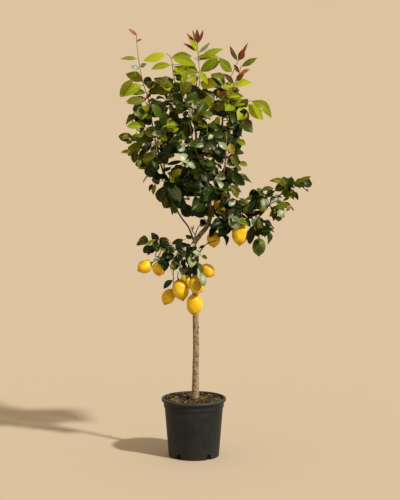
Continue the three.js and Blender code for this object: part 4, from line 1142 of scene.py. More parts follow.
# Leaves that the photo shows in full, by region with the depth they were read at: root x and z, tip x and z,
# width, in mm
frontLeaves = [
    # the right branch
    (-40, {
        "olive": [
            (357, 1019, 427, 1047, 17), (344, 1018, 286, 1037, 23), (339, 1027, 297, 994, 36),
            (297, 1001, 246, 996, 18), (362, 994, 326, 974, 30), (351, 942, 367, 920, 7),
            (310, 904, 307, 882, 27), (224, 983, 183, 955, 10), (200, 944, 153, 940, 15),
            (127, 907, 140, 856, 27), (300, 994, 271, 986, 12), (351, 968, 326, 957, 11),
        ],
        "bronze": [(356, 991, 334, 1004, 19), (322, 952, 354, 940, 19), (349, 944, 340, 918, 15)],
        "lit": [
            (336, 986, 374, 977, 29), (361, 1008, 319, 981, 27), (295, 928, 294, 905, 10),
            (174, 920, 201, 934, 15),
        ],
        "grey": [
            (253, 981, 240, 1004, 10), (256, 971, 257, 930, 27), (293, 961, 321, 944, 19),
            (293, 980, 324, 968, 11), (312, 932, 323, 897, 30), (176, 906, 124, 926, 29),
            (130, 909, 162, 854, 46), (156, 959, 128, 940, 23), (229, 897, 224, 856, 39),
            (315, 972, 275, 946, 15),
        ],
        "dark": [
            (234, 981, 200, 913, 32), (249, 981, 234, 932, 27), (254, 920, 205, 903, 22),
            (259, 878, 281, 844, 15), (216, 876, 204, 798, 32), (234, 856, 236, 824, 19),
            (195, 898, 206, 862, 18), (173, 909, 195, 895, 12), (271, 939, 238, 898, 15),
            (234, 843, 281, 848, 40),
        ],
    }),
    # the low left branch
    (-35, {
        "olive": [
            (-133, 819, -178, 797, 13), (-84, 732, -72, 699, 21), (26, 755, 49, 743, 14),
            (14, 825, 26, 834, 7),
        ],
        "dark": [
            (-136, 815, -132, 829, 9), (-145, 784, -182, 783, 17), (-140, 784, -155, 767, 10),
            (-84, 807, -130, 784, 25), (-82, 793, -121, 778, 21), (-32, 816, -81, 798, 20),
            (-3, 818, -30, 831, 16), (-84, 774, -117, 747, 28), (-72, 769, -103, 730, 28),
            (-119, 736, -103, 707, 23), (-33, 746, -38, 714, 22), (-54, 734, -70, 716, 16),
            (-72, 668, -111, 633, 22), (14, 753, 12, 725, 14), (17, 784, 38, 795, 10),
            (117, 863, 91, 823, 28),
        ],
        "bronze": [(-84, 809, -121, 817, 9), (0, 702, -9, 688, 12), (-23, 715, -27, 697, 19)],
        "grey": [
            (-124, 755, -147, 735, 21), (-16, 793, -42, 752, 23), (-16, 788, 5, 801, 12),
            (-56, 765, -74, 772, 13), (-9, 772, 28, 758, 19), (-11, 760, -11, 712, 35),
            (-47, 716, -40, 681, 27), (24, 701, 36, 640, 27),
        ],
        "lit": [(-6, 845, 1, 868, 6)],
    }),
    # the crown
    (-95, {
        "olive": [
            (-177, 1258, -215, 1285, 25), (-228, 1179, -270, 1198, 33), (-217, 1145, -263, 1138, 15),
            (-207, 1150, -215, 1100, 29), (-136, 1028, -146, 985, 16), (-109, 991, -105, 935, 22),
            (-146, 1158, -109, 1174, 16), (154, 1235, 116, 1241, 34), (160, 1091, 136, 1129, 31),
            (160, 1098, 195, 1090, 20), (128, 1024, 162, 981, 32), (72, 1120, 106, 1095, 29),
            (113, 1282, 147, 1252, 25), (34, 1258, -8, 1252, 23), (-13, 1309, 23, 1323, 13),
            (-218, 1176, -243, 1172, 15), (135, 1002, 160, 973, 20),
        ],
        "lit": [
            (-180, 1229, -241, 1231, 28), (-178, 1195, -226, 1182, 34), (-188, 1113, -199, 1082, 16),
            (-85, 1213, -53, 1224, 19), (-80, 1190, -45, 1179, 24), (153, 1179, 187, 1165, 23),
            (37, 1118, 25, 1086, 16), (88, 1271, 75, 1239, 23),
        ],
        "dark": [
            (-167, 1102, -154, 1047, 33), (-146, 1028, -160, 997, 16), (-117, 1001, -138, 977, 12),
            (-83, 956, -62, 917, 29), (-75, 1174, -109, 1132, 33), (163, 1257, 190, 1293, 27),
            (137, 1080, 184, 1019, 40), (-88, 1312, -74, 1284, 20), (-42, 1269, -17, 1284, 20),
            (-143, 1208, -114, 1208, 22), (-38, 1168, -2, 1188, 20), (-103, 1093, -42, 1107, 15),
            (84, 1100, 102, 1078, 13), (-78, 1086, -114, 1071, 14),
        ],
        "grey": [
            (-111, 1213, -151, 1203, 21), (-63, 1168, -33, 1145, 31), (-56, 1134, -22, 1100, 32),
            (-35, 1100, 7, 1081, 23), (46, 1165, 5, 1158, 17), (70, 1046, 23, 1044, 21),
            (77, 1042, 120, 988, 22), (57, 1013, 34, 986, 15), (100, 1237, 133, 1209, 19),
            (84, 1179, 124, 1147, 22), (73, 1201, 52, 1185, 16),
        ],
        "bronze": [(170, 1258, 203, 1216, 40), (131, 1176, 144, 1131, 27)],
        "red": [
            (95, 1340, 90, 1361, 13), (142, 1347, 135, 1372, 13), (-163, 1329, -170, 1343, 12),
            (-161, 1336, -154, 1349, 12),
        ],
    }),
    # the young shoots
    (-60, {
        "lit": [
            (-24, 1454, -35, 1381, 24), (-20, 1422, -46, 1383, 29), (110, 1386, 149, 1375, 29),
            (111, 1339, 169, 1339, 15),
        ],
        "young": [
            (-74, 1449, -37, 1415, 33), (3, 1474, 73, 1479, 18), (9, 1467, 91, 1481, 20),
            (34, 1429, 97, 1469, 24), (19, 1413, -24, 1416, 13),
        ],
        "dark": [
            (-76, 1419, -31, 1404, 18), (-94, 1322, -122, 1278, 30), (37, 1399, 100, 1370, 36),
            (-21, 1381, 37, 1328, 42), (-79, 1349, -37, 1318, 36), (70, 1286, 128, 1275, 33),
            (159, 1239, 117, 1224, 33), (-67, 1404, -45, 1397, 14),
        ],
        "olive": [
            (-211, 1404, -265, 1336, 32), (-180, 1329, -244, 1318, 22), (-233, 1360, -175, 1349, 22),
            (116, 1302, 159, 1325, 22), (169, 1296, 196, 1329, 29), (34, 1358, 74, 1322, 34),
            (-121, 1390, -74, 1354, 36),
        ],
        "grey": [(-32, 1320, 27, 1299, 29)],
    }),
    # hiding the lemon behind the others
    (-60, {
        "dark": [(-32, 735, -25, 684, 27), (-10, 724, -14, 680, 24), (8, 717, 5, 684, 17)],
    }),
]

# Gaps that the photo shows through the crown: x, z and radius, read at the depth given
crownGaps = {
    "depth": -40, "farBehind": 1000,
    "spots": [
        (128, 1099, 15), (-129, 1138, 13), (-184, 1136, 11), (-109, 1085, 11), (-97, 1058, 9),
        (-13, 1263, 13), (56, 1252, 7), (121, 1254, 11), (-1, 1205, 11), (47, 1098, 5), (-171, 1187, 12),
        (-122, 1183, 9), (-59, 1290, 9), (-157, 1250, 9), (-120, 1241, 9), (-128, 995, 12), (-95, 986, 9),
        (88, 1078, 7), (85, 1145, 7), (69, 1008, 6), (-6, 946, 22), (-21, 913, 22), (8, 917, 22),
        (-3, 891, 15), (-35, 898, 11), (-35, 1346, 16), (-147, 1342, 13), (-183, 1306, 18), (-209, 1295, 11),
        (-227, 1270, 11), (-238, 1252, 7), (103, 1314, 15), (81, 1306, 11), (56, 1299, 9), (-6, 1266, 11),
        (-60, 1299, 9), (161, 1299, 11), (114, 1256, 13), (193, 1274, 9), (168, 1223, 9), (-42, 1158, 11),
        (-42, 1118, 13), (-181, 1140, 11), (-162, 1165, 9), (-231, 1154, 9), (-231, 1132, 7), (118, 1107, 16),
        (125, 1085, 13), (103, 1092, 11), (-112, 1067, 13), (-185, 1045, 11), (-163, 1034, 11),
        (-192, 1067, 9), (-130, 1001, 11), (-94, 983, 7), (-123, 964, 7), (220, 994, 13), (202, 953, 11),
        (264, 950, 11), (296, 1012, 9), (369, 994, 11), (380, 972, 7), (406, 1005, 15), (268, 876, 13),
        (122, 840, 13), (122, 810, 11), (41, 876, 11), (154, 884, 9), (-185, 814, 18), (-145, 840, 9),
        (-175, 773, 15), (-142, 803, 9), (-21, 799, 11),
    ],
}

# Stretches of wood that the photo shows bare, from one point of the limb to another
bareWood = {
    "radius": 11, "step": 0.15,
    "stretches": [
        ("trunk", 0, 5), ("trunk", 6.5, 11.2), ("left", 0, 3.4), ("rightBranch", 0, 1.6), ("bareTwig", 0, 3),
        ("lowRight", 0.4, 3),
    ],
}


# Where points of the tree, in mm, stand in the picture: the spots (x, z) of the plane y = 0 that they hide
def seen(points):
    points, eye = array(points), array(view["place"]) / mm
    return eye[[0, 2]] + (points[..., [0, 2]] - eye[[0, 2]]) * eye[1] / (eye[1] - points[..., 1:2])


# The point at a depth that stands at a spot of the picture
def unseen(spot, depth):
    eye = array(view["place"]) / mm
    x, z = eye[[0, 2]] + (spot - eye[[0, 2]]) * (eye[1] - depth) / eye[1]
    return array((x, depth, z))


def nearestOn(line, point):
    starts, runs = line[:-1], np.diff(line, axis=0)
    share = np.clip(((point - starts) * runs).sum(1) / (runs * runs).sum(1), 0, 1)
    spots = starts + runs * share[:, None]
    return spots[np.argmin(np.linalg.norm(spots - point, axis=1))]


def touchesFruit(leaf):
    samples = [mix(leaf["root"], leaf["tip"], share) for share in (0.25, 0.5, 0.75, 1)]
    for fruit in fruits:
        first, last = fruitEnds(fruit)
        centre, half = (first + last) / 2, np.linalg.norm(last - first) / 2
        axis = (last - first) / (2 * half)
        for sample in samples:
            offset = sample - centre
            onAxis = offset @ axis
            across = offset @ offset - onAxis ** 2
            keep = foliage["fruitClearance"] + leaf["width"] * foliage["sideShare"]
            if (onAxis / (half + keep)) ** 2 + across / (fruit["width"] / 2 + keep) ** 2 < 1:
                return True
    return False


def insideBox(leaf):
    low, high = array(cadBox[0]) / mm, array(cadBox[1]) / mm
    ends = array((leaf["tip"], mix(leaf["root"], leaf["tip"], 0.5)))
    return bool((ends > low + foliage["boxMargin"]).all() and (ends < high - foliage["boxMargin"]).all())


# Small leaves round a twig by the golden angle, outwards and a little down
def extraLeaves(twig, draw, count, length):
    made = []
    for i in range(count):
        share = foliage["extraPlace"][0] + foliage["extraPlace"][1] * (i + draw()) / count
        root = bezier(*twig, share)[0]
        tangent = unit(bezier(*twig, min(share + 0.02, 1))[0] - bezier(*twig, share - 0.02)[0])
        across = unit(np.cross(tangent, (0, 0, 1)))
        over = np.cross(across, tangent)
        turn = (i + 0.5) * goldenAngle + 2 * math.pi * draw()
        outwards = across * math.cos(turn) + over * math.sin(turn)
        spread = drawn(foliage["spread"], draw)
        drop = array((0, 0, foliage["hang"] * (0.5 + draw())))
        heading = tangent * math.cos(spread) + outwards * math.sin(spread) - drop
        long = drawn(length, draw)
        up = array((draw() - 0.5, draw() - 0.5, 0.5)) + array(foliage["lightSide"]) * foliage["lightShare"]
        up += unit(array((root[0], root[1], 1e-3))) * foliage["outShare"]
        leaf = {
            "root": root, "tip": root + unit(heading) * long, "up": up,
            "width": long * drawn(foliage["extraWidth"], draw),
            "arch": drawn(foliage["extraArch"], draw),
        }
        if insideBox(leaf) and not touchesFruit(leaf) and not hidesSomething(leaf):
            made.append(leaf)
    return made


def leavesOn(twigs, draw, count, length):
    return [leaf for twig in twigs for leaf in extraLeaves(twig, draw, count, length)]


def lookAt(point, draw):
    looks = next(row[2] for row in lookZones if point[0] < row[0] and point[2] > row[1]).split()
    return looks[math.floor(draw() * len(looks))]


def shootLook(node, tip):
    for look, tips in shootLooks.items():
        if any(math.hypot(x - tip[0], z - tip[2]) < 6 for x, z in tips):
            return look
    return "red" if node.endswith("_tip") else "young"


# How a leaf is folded, waved, twisted and toned; leaves high up are toned brighter, which paints sunlight
def dress(leaf, look, form, draw):
    sunlit = np.clip((leaf["tip"][2] - foliage["sunlitFrom"]) / foliage["sunlitOver"], 0, 1)
    isYoung = form in ("young", "red")
    isFlat = isYoung or look == "grey"
    isStraight = isYoung and leaf["tip"][0] < foliage["youngArchTo"]
    leaf.update({
        "look": look, "form": form if isYoung or draw() < foliage["crownShare"] else "oval",
        "arch": leaf["arch"] * (foliage["youngArch"] if isStraight else 1),
        "fold": drawn(foliage["flatFold" if isFlat else "fold"], draw),
        "wave": drawn(foliage["wave"], draw), "waves": drawn(foliage["waves"], draw),
        "twist": foliage["twist"], "bend": foliage["bend"],
        "tone": foliage["tone"][0] + foliage["tone"][1] * draw() ** (foliage["toneCurve"] - sunlit),
    })
    return leaf


def twigLine(twig, radii):
    count = foliage["lineSteps"]
    return bezier(*twig, np.linspace(0, 1, count)), np.linspace(*radii, count)


# Everything that random leaves don't hide: rows of spot x and z, radius and depth, which is far behind for
# gaps that every leaf stays out of
def findKeptSpots():
    kept = []
    for limb, start, end in bareWood["stretches"]:
        stretch = limbs[limb]
        for place in np.arange(start, end, bareWood["step"]):
            point = pointAt(stretch, place)
            kept.append((*seen(point), bareWood["radius"], point[1]))
    for name, fruit in zip(fruitNames, fruits):
        first, last = fruitEnds(fruit)
        for share in () if name == "lemon_08" else (0.2, 0.5, 0.8):
            point = mix(first, last, share)
            kept.append((*seen(point), foliage["fruitSpot"] * fruit["width"], point[1]))
    for x, z, radius in crownGaps["spots"]:
        kept.append((*seen((x, crownGaps["depth"], z)), radius, crownGaps["farBehind"]))
    return kept


def hidesSomething(leaf):
    kept = array(keptSpots)
    for share in (0.35, 0.7, 1):
        sample = mix(leaf["root"], leaf["tip"], share)
        away = np.linalg.norm(kept[:, :2] - seen(sample), axis=1)
        reach = foliage["sideShare"] * leaf["width"]
        if ((away < kept[:, 2] + reach) & (sample[1] < kept[:, 3])).any():
            return True
    return False


# A leaf that the photo shows, at the front of the wood that is nearest to it in the picture. It steps
# forward until it clears the fruits, and a twiglet carries it. One that shines is turned to mirror the sun.
def placeFrontLeaf(row, look, depth, wood, draw):
    x0, z0, x1, z1, width = row
    rootSpot, tipSpot = seen((x0, depth, z0)), seen((x1, depth, z1))
    away = np.linalg.norm(seen(wood) - rootSpot, axis=1)
    carrier = wood[np.argmin(away + foliage["frontPull"] * wood[:, 1])]
    mirror = unit(unit(array(view["sunFrom"])) + unit(array(view["place"]) - carrier * mm))
    isShining = look == "grey"
    aside, drop = tipSpot - rootSpot
    ahead = -(aside * mirror[0] + drop * mirror[2]) / mirror[1] if isShining else foliage["frontTip"]
    for step in range(*foliage["frontSteps"]):
        front = carrier[1] - step - (foliage["shineStep"] if isShining else 0)
        up = mirror
        if not isShining:
            up = array(foliage["shaded" if look == "dark" else "sunlit"])
            up = up + array((draw() - 0.5, 0, draw() - 0.5)) * foliage["wander"]
        leaf = {
            "root": unseen(rootSpot, front), "tip": unseen(tipSpot, front + ahead), "width": width,
            "up": up, "arch": drawn(foliage["frontArch"], draw),
        }
        if not touchesFruit(leaf):
            break
    return leaf, (array((carrier, leaf["root"])), array(foliage["twigletRadii"]))


# More twigs between the solids' ones, each from the nearest wood, by preference below it
def fillTwigs(wood):
    twigs = []
    for count, reach in foliage["fillShells"]:
        for tip in crownTips(count, reach, reach * foliage["fillTurn"]):
            offsets = tip - wood
            away = np.linalg.norm(offsets, axis=1)
            cost = away - crown["climb"] * offsets[:, 2] + foliage["tooNear"] * (away < foliage["fillLeast"])
            start = wood[np.argmin(cost)]
            knee = (start + tip) / 2 + array((0, 0, stem["twigBends"][0][1] * np.linalg.norm(tip - start)))
            twigs.append((start, knee, tip))
    return twigs


def makeLeafyPiece(name, leaves, lines, seed, slot, *nodes):
    piece, looks = leafMesh(name + "_leaves", leaves, seed)
    finish(piece, looks, slot, *nodes)
    finish(tubes(name + "_twigs", lines, foliage["sides"]), twigBark, "bark", *nodes)
    return len(leaves)


def makeFoliage():
    total = 0
    leafyNodes = [n for n in nodeNames if n.startswith(("spray_", "shoot_"))]
    radii = (stem["twigRadius"], stem["twigTipRadius"])
    for seed, node in enumerate(leafyNodes):
        draw = seededDraws(1000 + seed)
        leaves = readLeaves(node)
        if node.startswith("shoot_"):
            lines = [smoothLine(shootStem(node), 5)]
            slot = "leaf_red" if node.endswith("_tip") else "leaf_young"
            slot = "leaf_olive" if node in ("shoot_front", "shoot_right_back") else slot
            form, extra = "red" if node.endswith("_tip") else "young", []
        else:
            lines = [twigLine(twig, radii) for twig in twigPlan[node]]
            isHigh = any(twig[2][2] > 1300 for twig in twigPlan[node]) or node == "spray_branch_tip"
            slot = "leaf_olive" if isHigh else "leaf_dark"
            form, length = "crown", foliage["branchLength" if node in branchSprays else "extraLength"]
            extra = leavesOn(twigPlan[node], draw, foliage["extraLeaves"], length)
        for leaf in leaves:
            spots = [nearestOn(line[0], leaf["root"]) for line in lines]
            leaf["root"] = min(spots, key=lambda spot: np.linalg.norm(spot - leaf["root"]))
        for leaf in leaves + extra:
            look = shootLook(node, leaf["tip"]) if node.startswith("shoot_") else lookAt(leaf["tip"], draw)
            dress(leaf, look, form, draw)
        total += makeLeafyPiece(node, leaves + extra, lines, 2000 + seed, slot, node)

    draw = seededDraws(5)
    twigs = fillTwigs(allWood)
    leaves = leavesOn(twigs, draw, foliage["fillLeaves"], foliage["extraLength"])
    leaves = [dress(leaf, lookAt(leaf["tip"], draw), "crown", draw) for leaf in leaves]
    total += makeLeafyPiece("filling", leaves, [twigLine(twig, foliage["fillRadii"]) for twig in twigs], 3000,
                            "leaf_dark")
    leaves = [dress(leaf, look, "crown", draw) for leaf, look in frontPlan]
    total += makeLeafyPiece("front", leaves, frontTwiglets, 3001, "leaf_dark")
    print("leaves made:", total)


# The front leaves with their looks, and their twiglets; each also keeps its own spot clear
def planFrontLeaves():
    plan, twiglets = [], []
    for depth, region in frontLeaves:
        for look, rows in region.items():
            for row in rows:
                draw = seededDraws(round(row[0] * 7 + row[1]))
                leaf, twiglet = placeFrontLeaf(row, look, depth, allWood, draw)
                plan.append((leaf, look))
                twiglets.append(twiglet)
                middle = mix(leaf["root"], leaf["tip"], 0.5)
                length = np.linalg.norm(leaf["tip"] - leaf["root"])
                keptSpots.append((*seen(middle), foliage["leafSpot"] * length, middle[1]))
    return plan, twiglets


keptSpots = findKeptSpots()
allWood = np.vstack([
    smoothLine([(*p, 1) for p in points], 8)[0] for points in
    [array(limb)[:, :3] for limb in limbs.values()]
    + [bezier(*twig, np.linspace(0, 1, 9)) for twigs in twigPlan.values() for twig in twigs]
    + [array(shootStem(name))[:, :3] for name in shoots]
])
frontPlan, frontTwiglets = planFrontLeaves()
makeFoliage()

# ---- the pot

pot = {
    "height": 220, "topRadius": 120, "footRadius": 94, "wall": 2.6, "floor": 4,
    "lipHeight": 12, "lipOverhang": 7, "lipRound": 4.4, "lipFootRound": 3.4, "lipFootLift": 3.2,
    "footRound": 2.2,
    "shoulderHeight": 186, "shoulderStep": 3, "shoulderRise": 1.5, "bandTaper": 1.5,
    "grooves": (197, 178), "grooveDepth": 0.4, "grooveWidth": 1.2,
    "notches": 5, "notchWidth": 17, "notchHeight": 20, "notchDepth": 14,
    "spinSteps": 120, "smoothAngle": 35,
    "colours": ("#0C1117", "#11171D", "#171E24"),
    # painted highlight: the bluish grey that the lip's top is lightened to, between the two heights after it
    "rimHighlight": "#2A3138", "rimHighlightFrom": 208, "rimHighlightTo": 216,
    "dust": "#4E4232",
    "patch": 45, "dustSize": 7, "dustTo": 70, "grain": 0.8,     # mm
}
bandTop = pot["topRadius"] - pot["lipOverhang"]
bandFoot = bandTop - pot["bandTaper"]
wallTop = bandFoot - pot["shoulderStep"]
lipFoot = pot["height"] - pot["lipHeight"]


def wallRadius(height):
    shoulder = pot["shoulderHeight"]
    if height >= shoulder:
        return mix(bandFoot, bandTop, (height - shoulder) / (lipFoot - shoulder))
    return mix(pot["footRadius"], wallTop, height / (shoulder - pot["shoulderRise"]))


# The inside of the wall from a height down to the floor, as (radius, height)
def hollow(top, clearance):
    step = pot["shoulderHeight"] + pot["wall"] + clearance
    inwards = pot["wall"] + clearance
    base = pot["floor"] + clearance
    return [
        (wallRadius(top) - inwards, top), (wallRadius(step) - inwards, step),
        (wallTop - inwards, step - pot["shoulderRise"]), (wallRadius(base) - inwards, base), (0, base),
    ]


def arc(centre, radius, start, end, count):
    turns = np.radians(np.linspace(start, end, count))
    return [(centre[0] + radius * math.cos(t), centre[1] + radius * math.sin(t)) for t in turns]


# Injection-moulded polypropylene: black, satin, with a faint moulded grain, potting dust low down,
# and a painted highlight that makes the lip lighter and bluer at its top
def potMaterial():
    material, add, place = newMaterial("blackPolypropylene", {"IOR": 1.49, "Specular IOR Level": 0.26})
    patch = add("TexNoise", {"Scale": perMm(pot["patch"]), "Detail": 5.0}, {"Vector": place})
    colour = add("ValToRGB", {"stops": zip((0.35, 0.5, 0.7), pot["colours"])}, {"Fac": (patch, "Fac")})
    dust = add("TexNoise", {"Scale": perMm(pot["dustSize"]), "Detail": 6.0}, {"Vector": place})
    height = (add("SeparateXYZ", links={"Vector": place}), "Z")
    low = add("MapRange", {"From Min": 0.0, "From Max": pot["dustTo"] * mm, "To Min": 0.22, "To Max": 0.03},
              {"Value": height})
    amount = add("Math", {"operation": "MULTIPLY"}, {0: (low, "Result"), 1: (dust, "Fac")})
    dusty = add("Mix", {"data_type": "RGBA", mixTo: linear(pot["dust"])},
                {mixShare: (amount, "Value"), mixFrom: (colour, "Color")})
    # painted highlight: the lip is lighter and bluer towards its top
    high = add("MapRange", {"From Min": pot["rimHighlightFrom"] * mm, "From Max": pot["rimHighlightTo"] * mm},
               {"Value": height})
    paintedRimHighlight = add("Mix", {"data_type": "RGBA", mixTo: linear(pot["rimHighlight"])},
               {mixShare: (high, "Result"), mixFrom: (dusty, mixed)})
    grain = add("TexNoise", {"Scale": perMm(pot["grain"]), "Detail": 2.0}, {"Vector": place})
    bump = add("Bump", {"Strength": 0.12, "Distance": 0.2 * mm}, {"Height": (grain, "Fac")})
    rough = add("MapRange", {"To Min": 0.42, "To Max": 0.6}, {"Value": (patch, "Fac")})
    return patterned(material, {
        "Base Color": (paintedRimHighlight, mixed), "Normal": (bump, "Normal"), "Roughness": (rough, "Result")})


def groove(height):
    depth = pot["grooveDepth"]
    across = ((-pot["grooveWidth"], 0), (0, depth), (pot["grooveWidth"], 0))
    return [(wallRadius(height + out) - inwards, height + out) for out, inwards in across]


def makePot():
    foot, shoulder, rise = pot["footRadius"], pot["shoulderHeight"], pot["shoulderRise"]
    top, tall = pot["topRadius"], pot["height"]
    upper, lower = pot["grooves"]
    round1, round2, round3 = pot["footRound"], pot["lipFootRound"], pot["lipRound"]
    profile = [(0, 0), (foot - 3, 0)]
    profile += arc((foot - round1, round1), round1, -80, 0, 5)
    profile += [(wallRadius(60), 60), (wallRadius(120), 120)] + groove(lower)
    profile += [(wallTop, shoulder - rise - 0.3), (wallTop + 0.5, shoulder - rise)]
    profile += [(bandFoot - 0.5, shoulder - 0.3), (bandFoot, shoulder + 0.3)]
    profile += groove(upper) + [(bandTop, lipFoot - 1)]
    profile += arc((top - round2, lipFoot + pot["lipFootLift"]), round2, -75, 0, 5)
    profile += arc((top - round3, tall - round3), round3, 0, 90, 7)
    profile += arc((bandTop, tall - pot["wall"]), pot["wall"], 90, 180, 5)
    profile += hollow(lipFoot - 2, 0)
    piece = spun("pot_shell", profile, pot["spinSteps"])
    cutters = []
    for i in range(pot["notches"]):
        turn = (i + 0.5) * 2 * math.pi / pot["notches"]
        deselectAll()
        bpy.ops.mesh.primitive_cube_add(size=1, rotation=(0, 0, turn))
        cutter = bpy.context.object
        cutter.dimensions = (pot["notchWidth"] * mm, pot["notchDepth"] * mm, 2 * pot["notchHeight"] * mm)
        cutter.location = (foot * mm * math.sin(turn), -foot * mm * math.cos(turn), 0)
        applyPlace(cutter)
        cutters.append(cutter)
    cutter = joined(cutters)
    applyModifier(piece, "BOOLEAN", {"object": cutter, "operation": "DIFFERENCE", "solver": "EXACT"})
    bpy.data.objects.remove(cutter)
    selectOnly(piece)
    bpy.ops.object.shade_smooth_by_angle(angle=math.radians(pot["smoothAngle"]))
    finish(piece, potMaterial(), "pot", "pot")


makePot()
print("pot made")

# ---- the potting mix, its bark chips and moss

soil = {
    "height": 212, "rings": 34, "spinSteps": 90,
    "clodSize": 14, "clodHeight": 9, "crumbSize": 4, "crumbHeight": 3,
    # hollows: x, y and radius, and how deep they are
    "hollows": [(-58, 48, 22), (-24, 8, 22), (44, 60, 16), (-84, -30, 14)], "hollowDepth": 9,
    "hollowHeart": 4,        # mm round the middle of a hollow, which sinks first
    # how far chips and moss stay from the rim and from the trunk at an x, and how much of a hollow stays bare
    "rimMargin": 7, "trunkX": 6, "trunkMargin": 19, "bareShare": 0.6,
    "chipSpread": 1.2, "chipRise": 0.12, "tuftRise": 0.5, "tuftTilt": 0.6,
    "chipShape": (1, 0.6, 0.32), "chipRough": 0.16, "chipRound": 0.6,
    # a tuft's shoots, with their sizes as shares of its own
    "tuftShoots": 7, "shootRadius": 0.22, "shootTip": 0.03, "shootLift": 0.4, "shootTilt": 0.55,
    "shootOut": 0.25,
    "colours": ("#0C0906", "#1C150E", "#30251A", "#443525"),
    # painted shade: the near black that the soil darkens to, from just above its top down into its hollows
    "dark": "#080604", "paintedShadeFrom": 213, "paintedShadeTo": 204,
    "chips": 360, "chipLength": (7, 16),
    "chipColours": ("#120C08", "#261A11", "#3F2E1E", "#6C523A"),
    "tufts": 260, "tuftSize": (3.5, 7), "mossColours": ("#3E4812", "#69761A", "#949F2E"),
    "flake": 3, "mossPatch": 8,      # mm, of the patterns
    # where moss grows: x, y and how far it spreads
    "mossPatches": [(-97, 41, 12), (-74, -13, 14), (-51, -49, 14), (-18, -49, 16), (34, 8, 20), (66, 60, 20),
                    (92, -28, 12), (40, -20, 14)],
}


# Peat and composted bark: crumbly and dull, with painted shade that makes it nearly black in its hollows and
# below its top
def soilMaterial():
    material, add, place = newMaterial("pottingMix", {
        "Roughness": 0.95, "IOR": 1.4, "Specular IOR Level": 0.2})
    crumb = add("TexNoise", {"Scale": perMm(soil["crumbSize"]), "Detail": 6.0}, {"Vector": place})
    stops = zip((0.36, 0.46, 0.56, 0.7), soil["colours"])
    colour = add("ValToRGB", {"stops": stops}, {"Fac": (crumb, "Fac")})
    height = add("SeparateXYZ", links={"Vector": place})
    # painted shade: the lower the surface lies, the darker it is painted, to near black in the hollows
    deep = add("MapRange", {"From Min": soil["paintedShadeFrom"] * mm, "From Max": soil["paintedShadeTo"] * mm},
               {"Value": (height, "Z")})
    shaded = add("Mix", {"data_type": "RGBA", mixTo: linear(soil["dark"])},
                 {mixShare: (deep, "Result"), mixFrom: (colour, "Color")})
    bump = add("Bump", {"Strength": 0.9, "Distance": 2 * mm}, {"Height": (crumb, "Fac")})
    return patterned(material, {"Base Color": (shaded, mixed), "Normal": (bump, "Normal")})


# Composted pine bark: flaky, reddish brown, each chip of its own shade
def chipMaterial():
    material, add, place = newMaterial("pineBarkChips", {"Roughness": 0.85, "IOR": 1.45})
    tone = add("Attribute", {"attribute_name": "tone"})
    flake = add("TexNoise", {"Scale": perMm(soil["flake"]), "Detail": 4.0}, {"Vector": place})
    shift = add("Math", {"operation": "MULTIPLY_ADD", 1: 0.5, 2: -0.25}, {0: (flake, "Fac")})
    toned = add("Math", {"operation": "ADD"}, {0: (tone, "Fac"), 1: (shift, "Value")})
    stops = zip((0.1, 0.5, 0.8, 1.0), soil["chipColours"])
    colour = add("ValToRGB", {"stops": stops}, {"Fac": (toned, "Value")})
    bump = add("Bump", {"Strength": 0.6, "Distance": 0.6 * mm}, {"Height": (flake, "Fac")})
    return patterned(material, {"Base Color": (colour, "Color"), "Normal": (bump, "Normal")})


# Cushion moss: bright yellow-green, matt and slightly translucent
def mossMaterial():
    material, add, place = newMaterial("cushionMoss", {
        "Roughness": 0.8, "IOR": 1.4, "Subsurface Weight": 0.1, "Subsurface Scale": 1 * mm})
    tint = add("TexNoise", {"Scale": perMm(soil["mossPatch"]), "Detail": 2.0}, {"Vector": place})
    colour = add("ValToRGB", {"stops": zip((0.35, 0.5, 0.65), soil["mossColours"])}, {"Fac": (tint, "Fac")})
    return patterned(material, {"Base Color": (colour, "Color")})


def turned(x, y, z):
    cx, sx, cy, sy, cz, sz = math.cos(x), math.sin(x), math.cos(y), math.sin(y), math.cos(z), math.sin(z)
    aroundX = array([(1, 0, 0), (0, cx, -sx), (0, sx, cx)])
    aroundY = array([(cy, 0, sy), (0, 1, 0), (-sy, 0, cy)])
    aroundZ = array([(cz, -sz, 0), (sz, cz, 0), (0, 0, 1)])
    return aroundZ @ aroundY @ aroundX


def modelChip():
    deselectAll()
    bpy.ops.mesh.primitive_cube_add(size=1)
    chip = bpy.context.object
    bpy.ops.object.mode_set(mode="EDIT")
    bpy.ops.mesh.select_all(action="SELECT")
    bpy.ops.mesh.subdivide(number_cuts=1, smoothness=soil["chipRound"])
    bpy.ops.transform.vertex_random(offset=soil["chipRough"], seed=4)
    bpy.ops.transform.resize(value=soil["chipShape"])
    bpy.ops.object.mode_set(mode="OBJECT")
    return chip


# A moss tuft: a few pointed shoots standing outwards
def modelTuft():
    cones = []
    for i in range(soil["tuftShoots"]):
        deselectAll()
        bpy.ops.mesh.primitive_cone_add(
            vertices=4, radius1=soil["shootRadius"], radius2=soil["shootTip"], depth=1,
            location=(0, 0, soil["shootLift"]))
        cone = bpy.context.object
        applyPlace(cone)
        turn = i * goldenAngle
        out = soil["shootOut"] if i > 0 else 0
        cone.rotation_euler = (soil["shootTilt"] if i > 0 else 0, 0, turn)
        cone.location = (out * math.sin(turn), -out * math.cos(turn), 0)
        applyPlace(cone)
        cones.append(cone)
    return joined(cones)


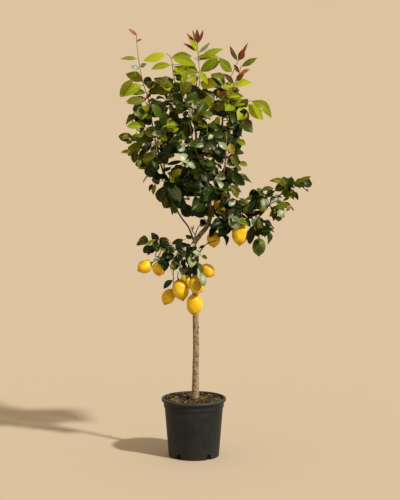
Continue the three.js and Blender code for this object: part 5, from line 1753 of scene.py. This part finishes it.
def makeSoil():
    walls = hollow(soil["height"] - 3, stem["gap"])
    rim = walls[0][0]
    profile = walls[::-1]
    profile += [(rim * (1 - i / soil["rings"]), soil["height"]) for i in range(soil["rings"] + 1)]
    piece = spun("soil_surface", profile, soil["spinSteps"])
    bpy.ops.object.mode_set(mode="EDIT")
    for x, y, radius in soil["hollows"]:
        selectWhere(piece, lambda co: co.z > (soil["height"] - 1) * mm
                    and math.hypot(co.x - x * mm, co.y - y * mm) < soil["hollowHeart"] * mm)
        bpy.ops.transform.translate(
            value=(0, 0, -soil["hollowDepth"] * mm), use_proportional_edit=True,
            use_proportional_connected=True, proportional_edit_falloff="SMOOTH",
            proportional_size=radius * mm)
    bpy.ops.object.mode_set(mode="OBJECT")
    group = piece.vertex_groups.new(name="top")
    for v in piece.data.vertices:
        fromAxis = math.hypot(v.co.x, v.co.y) / mm
        if v.co.z > (soil["height"] - soil["hollowDepth"] - 2) * mm:
            group.add([v.index], min(1, max(0, (rim - fromAxis) / 6)), "REPLACE")
    for name, size, height in (("clods", soil["clodSize"], soil["clodHeight"]),
                               ("crumbs", soil["crumbSize"], soil["crumbHeight"])):
        addLumps(piece, clouds(name, size), height, {"direction": "Z", "vertex_group": "top"})
    finish(piece, soilMaterial(), "soil", "soil")
    surface = array([v.co for v in piece.data.vertices]) / mm
    surface = surface[surface[:, 2] > soil["height"] - 2 * soil["hollowDepth"]]

    def heightAt(x, y):
        return surface[np.argmin((surface[:, 0] - x) ** 2 + (surface[:, 1] - y) ** 2), 2]

    def spread(draw, centre, reach):
        while True:
            x = centre[0] + (draw() + draw() - 1) * reach
            y = centre[1] + (draw() + draw() - 1) * reach
            isOnTop = math.hypot(x, y) < rim - soil["rimMargin"]
            isClear = math.hypot(x - soil["trunkX"], y) > soil["trunkMargin"]
            inHollow = any(
                math.hypot(x - hx, y - hy) < soil["bareShare"] * radius for hx, hy, radius in soil["hollows"])
            if isOnTop and isClear and not inHollow:
                return x, y

    draw = seededDraws(77)
    places = []
    for i in range(soil["chips"]):
        x, y = spread(draw, (0, 0), rim * soil["chipSpread"])
        size = mix(*soil["chipLength"], draw() ** 2)
        matrix = turned(draw() - 0.5, draw() - 0.5, 2 * math.pi * draw()) * size * mm
        places.append((matrix, array((x, y, heightAt(x, y) + soil["chipRise"] * size)) * mm, draw()))
    finish(copies("bark_chips", modelChip(), places), chipMaterial(), "soil")
    places = []
    for i in range(soil["tufts"]):
        x0, y0, reach = soil["mossPatches"][i % len(soil["mossPatches"])]
        x, y = spread(draw, (x0, y0), reach)
        size = mix(*soil["tuftSize"], draw())
        tilts = [soil["tuftTilt"] * (draw() - 0.5) for turn in range(2)]
        matrix = turned(*tilts, 2 * math.pi * draw()) * size * mm
        places.append((matrix, array((x, y, heightAt(x, y) + soil["tuftRise"])) * mm, draw()))
    finish(copies("moss", modelTuft(), places), mossMaterial(), "leaf_young")


makeSoil()
print("soil made")
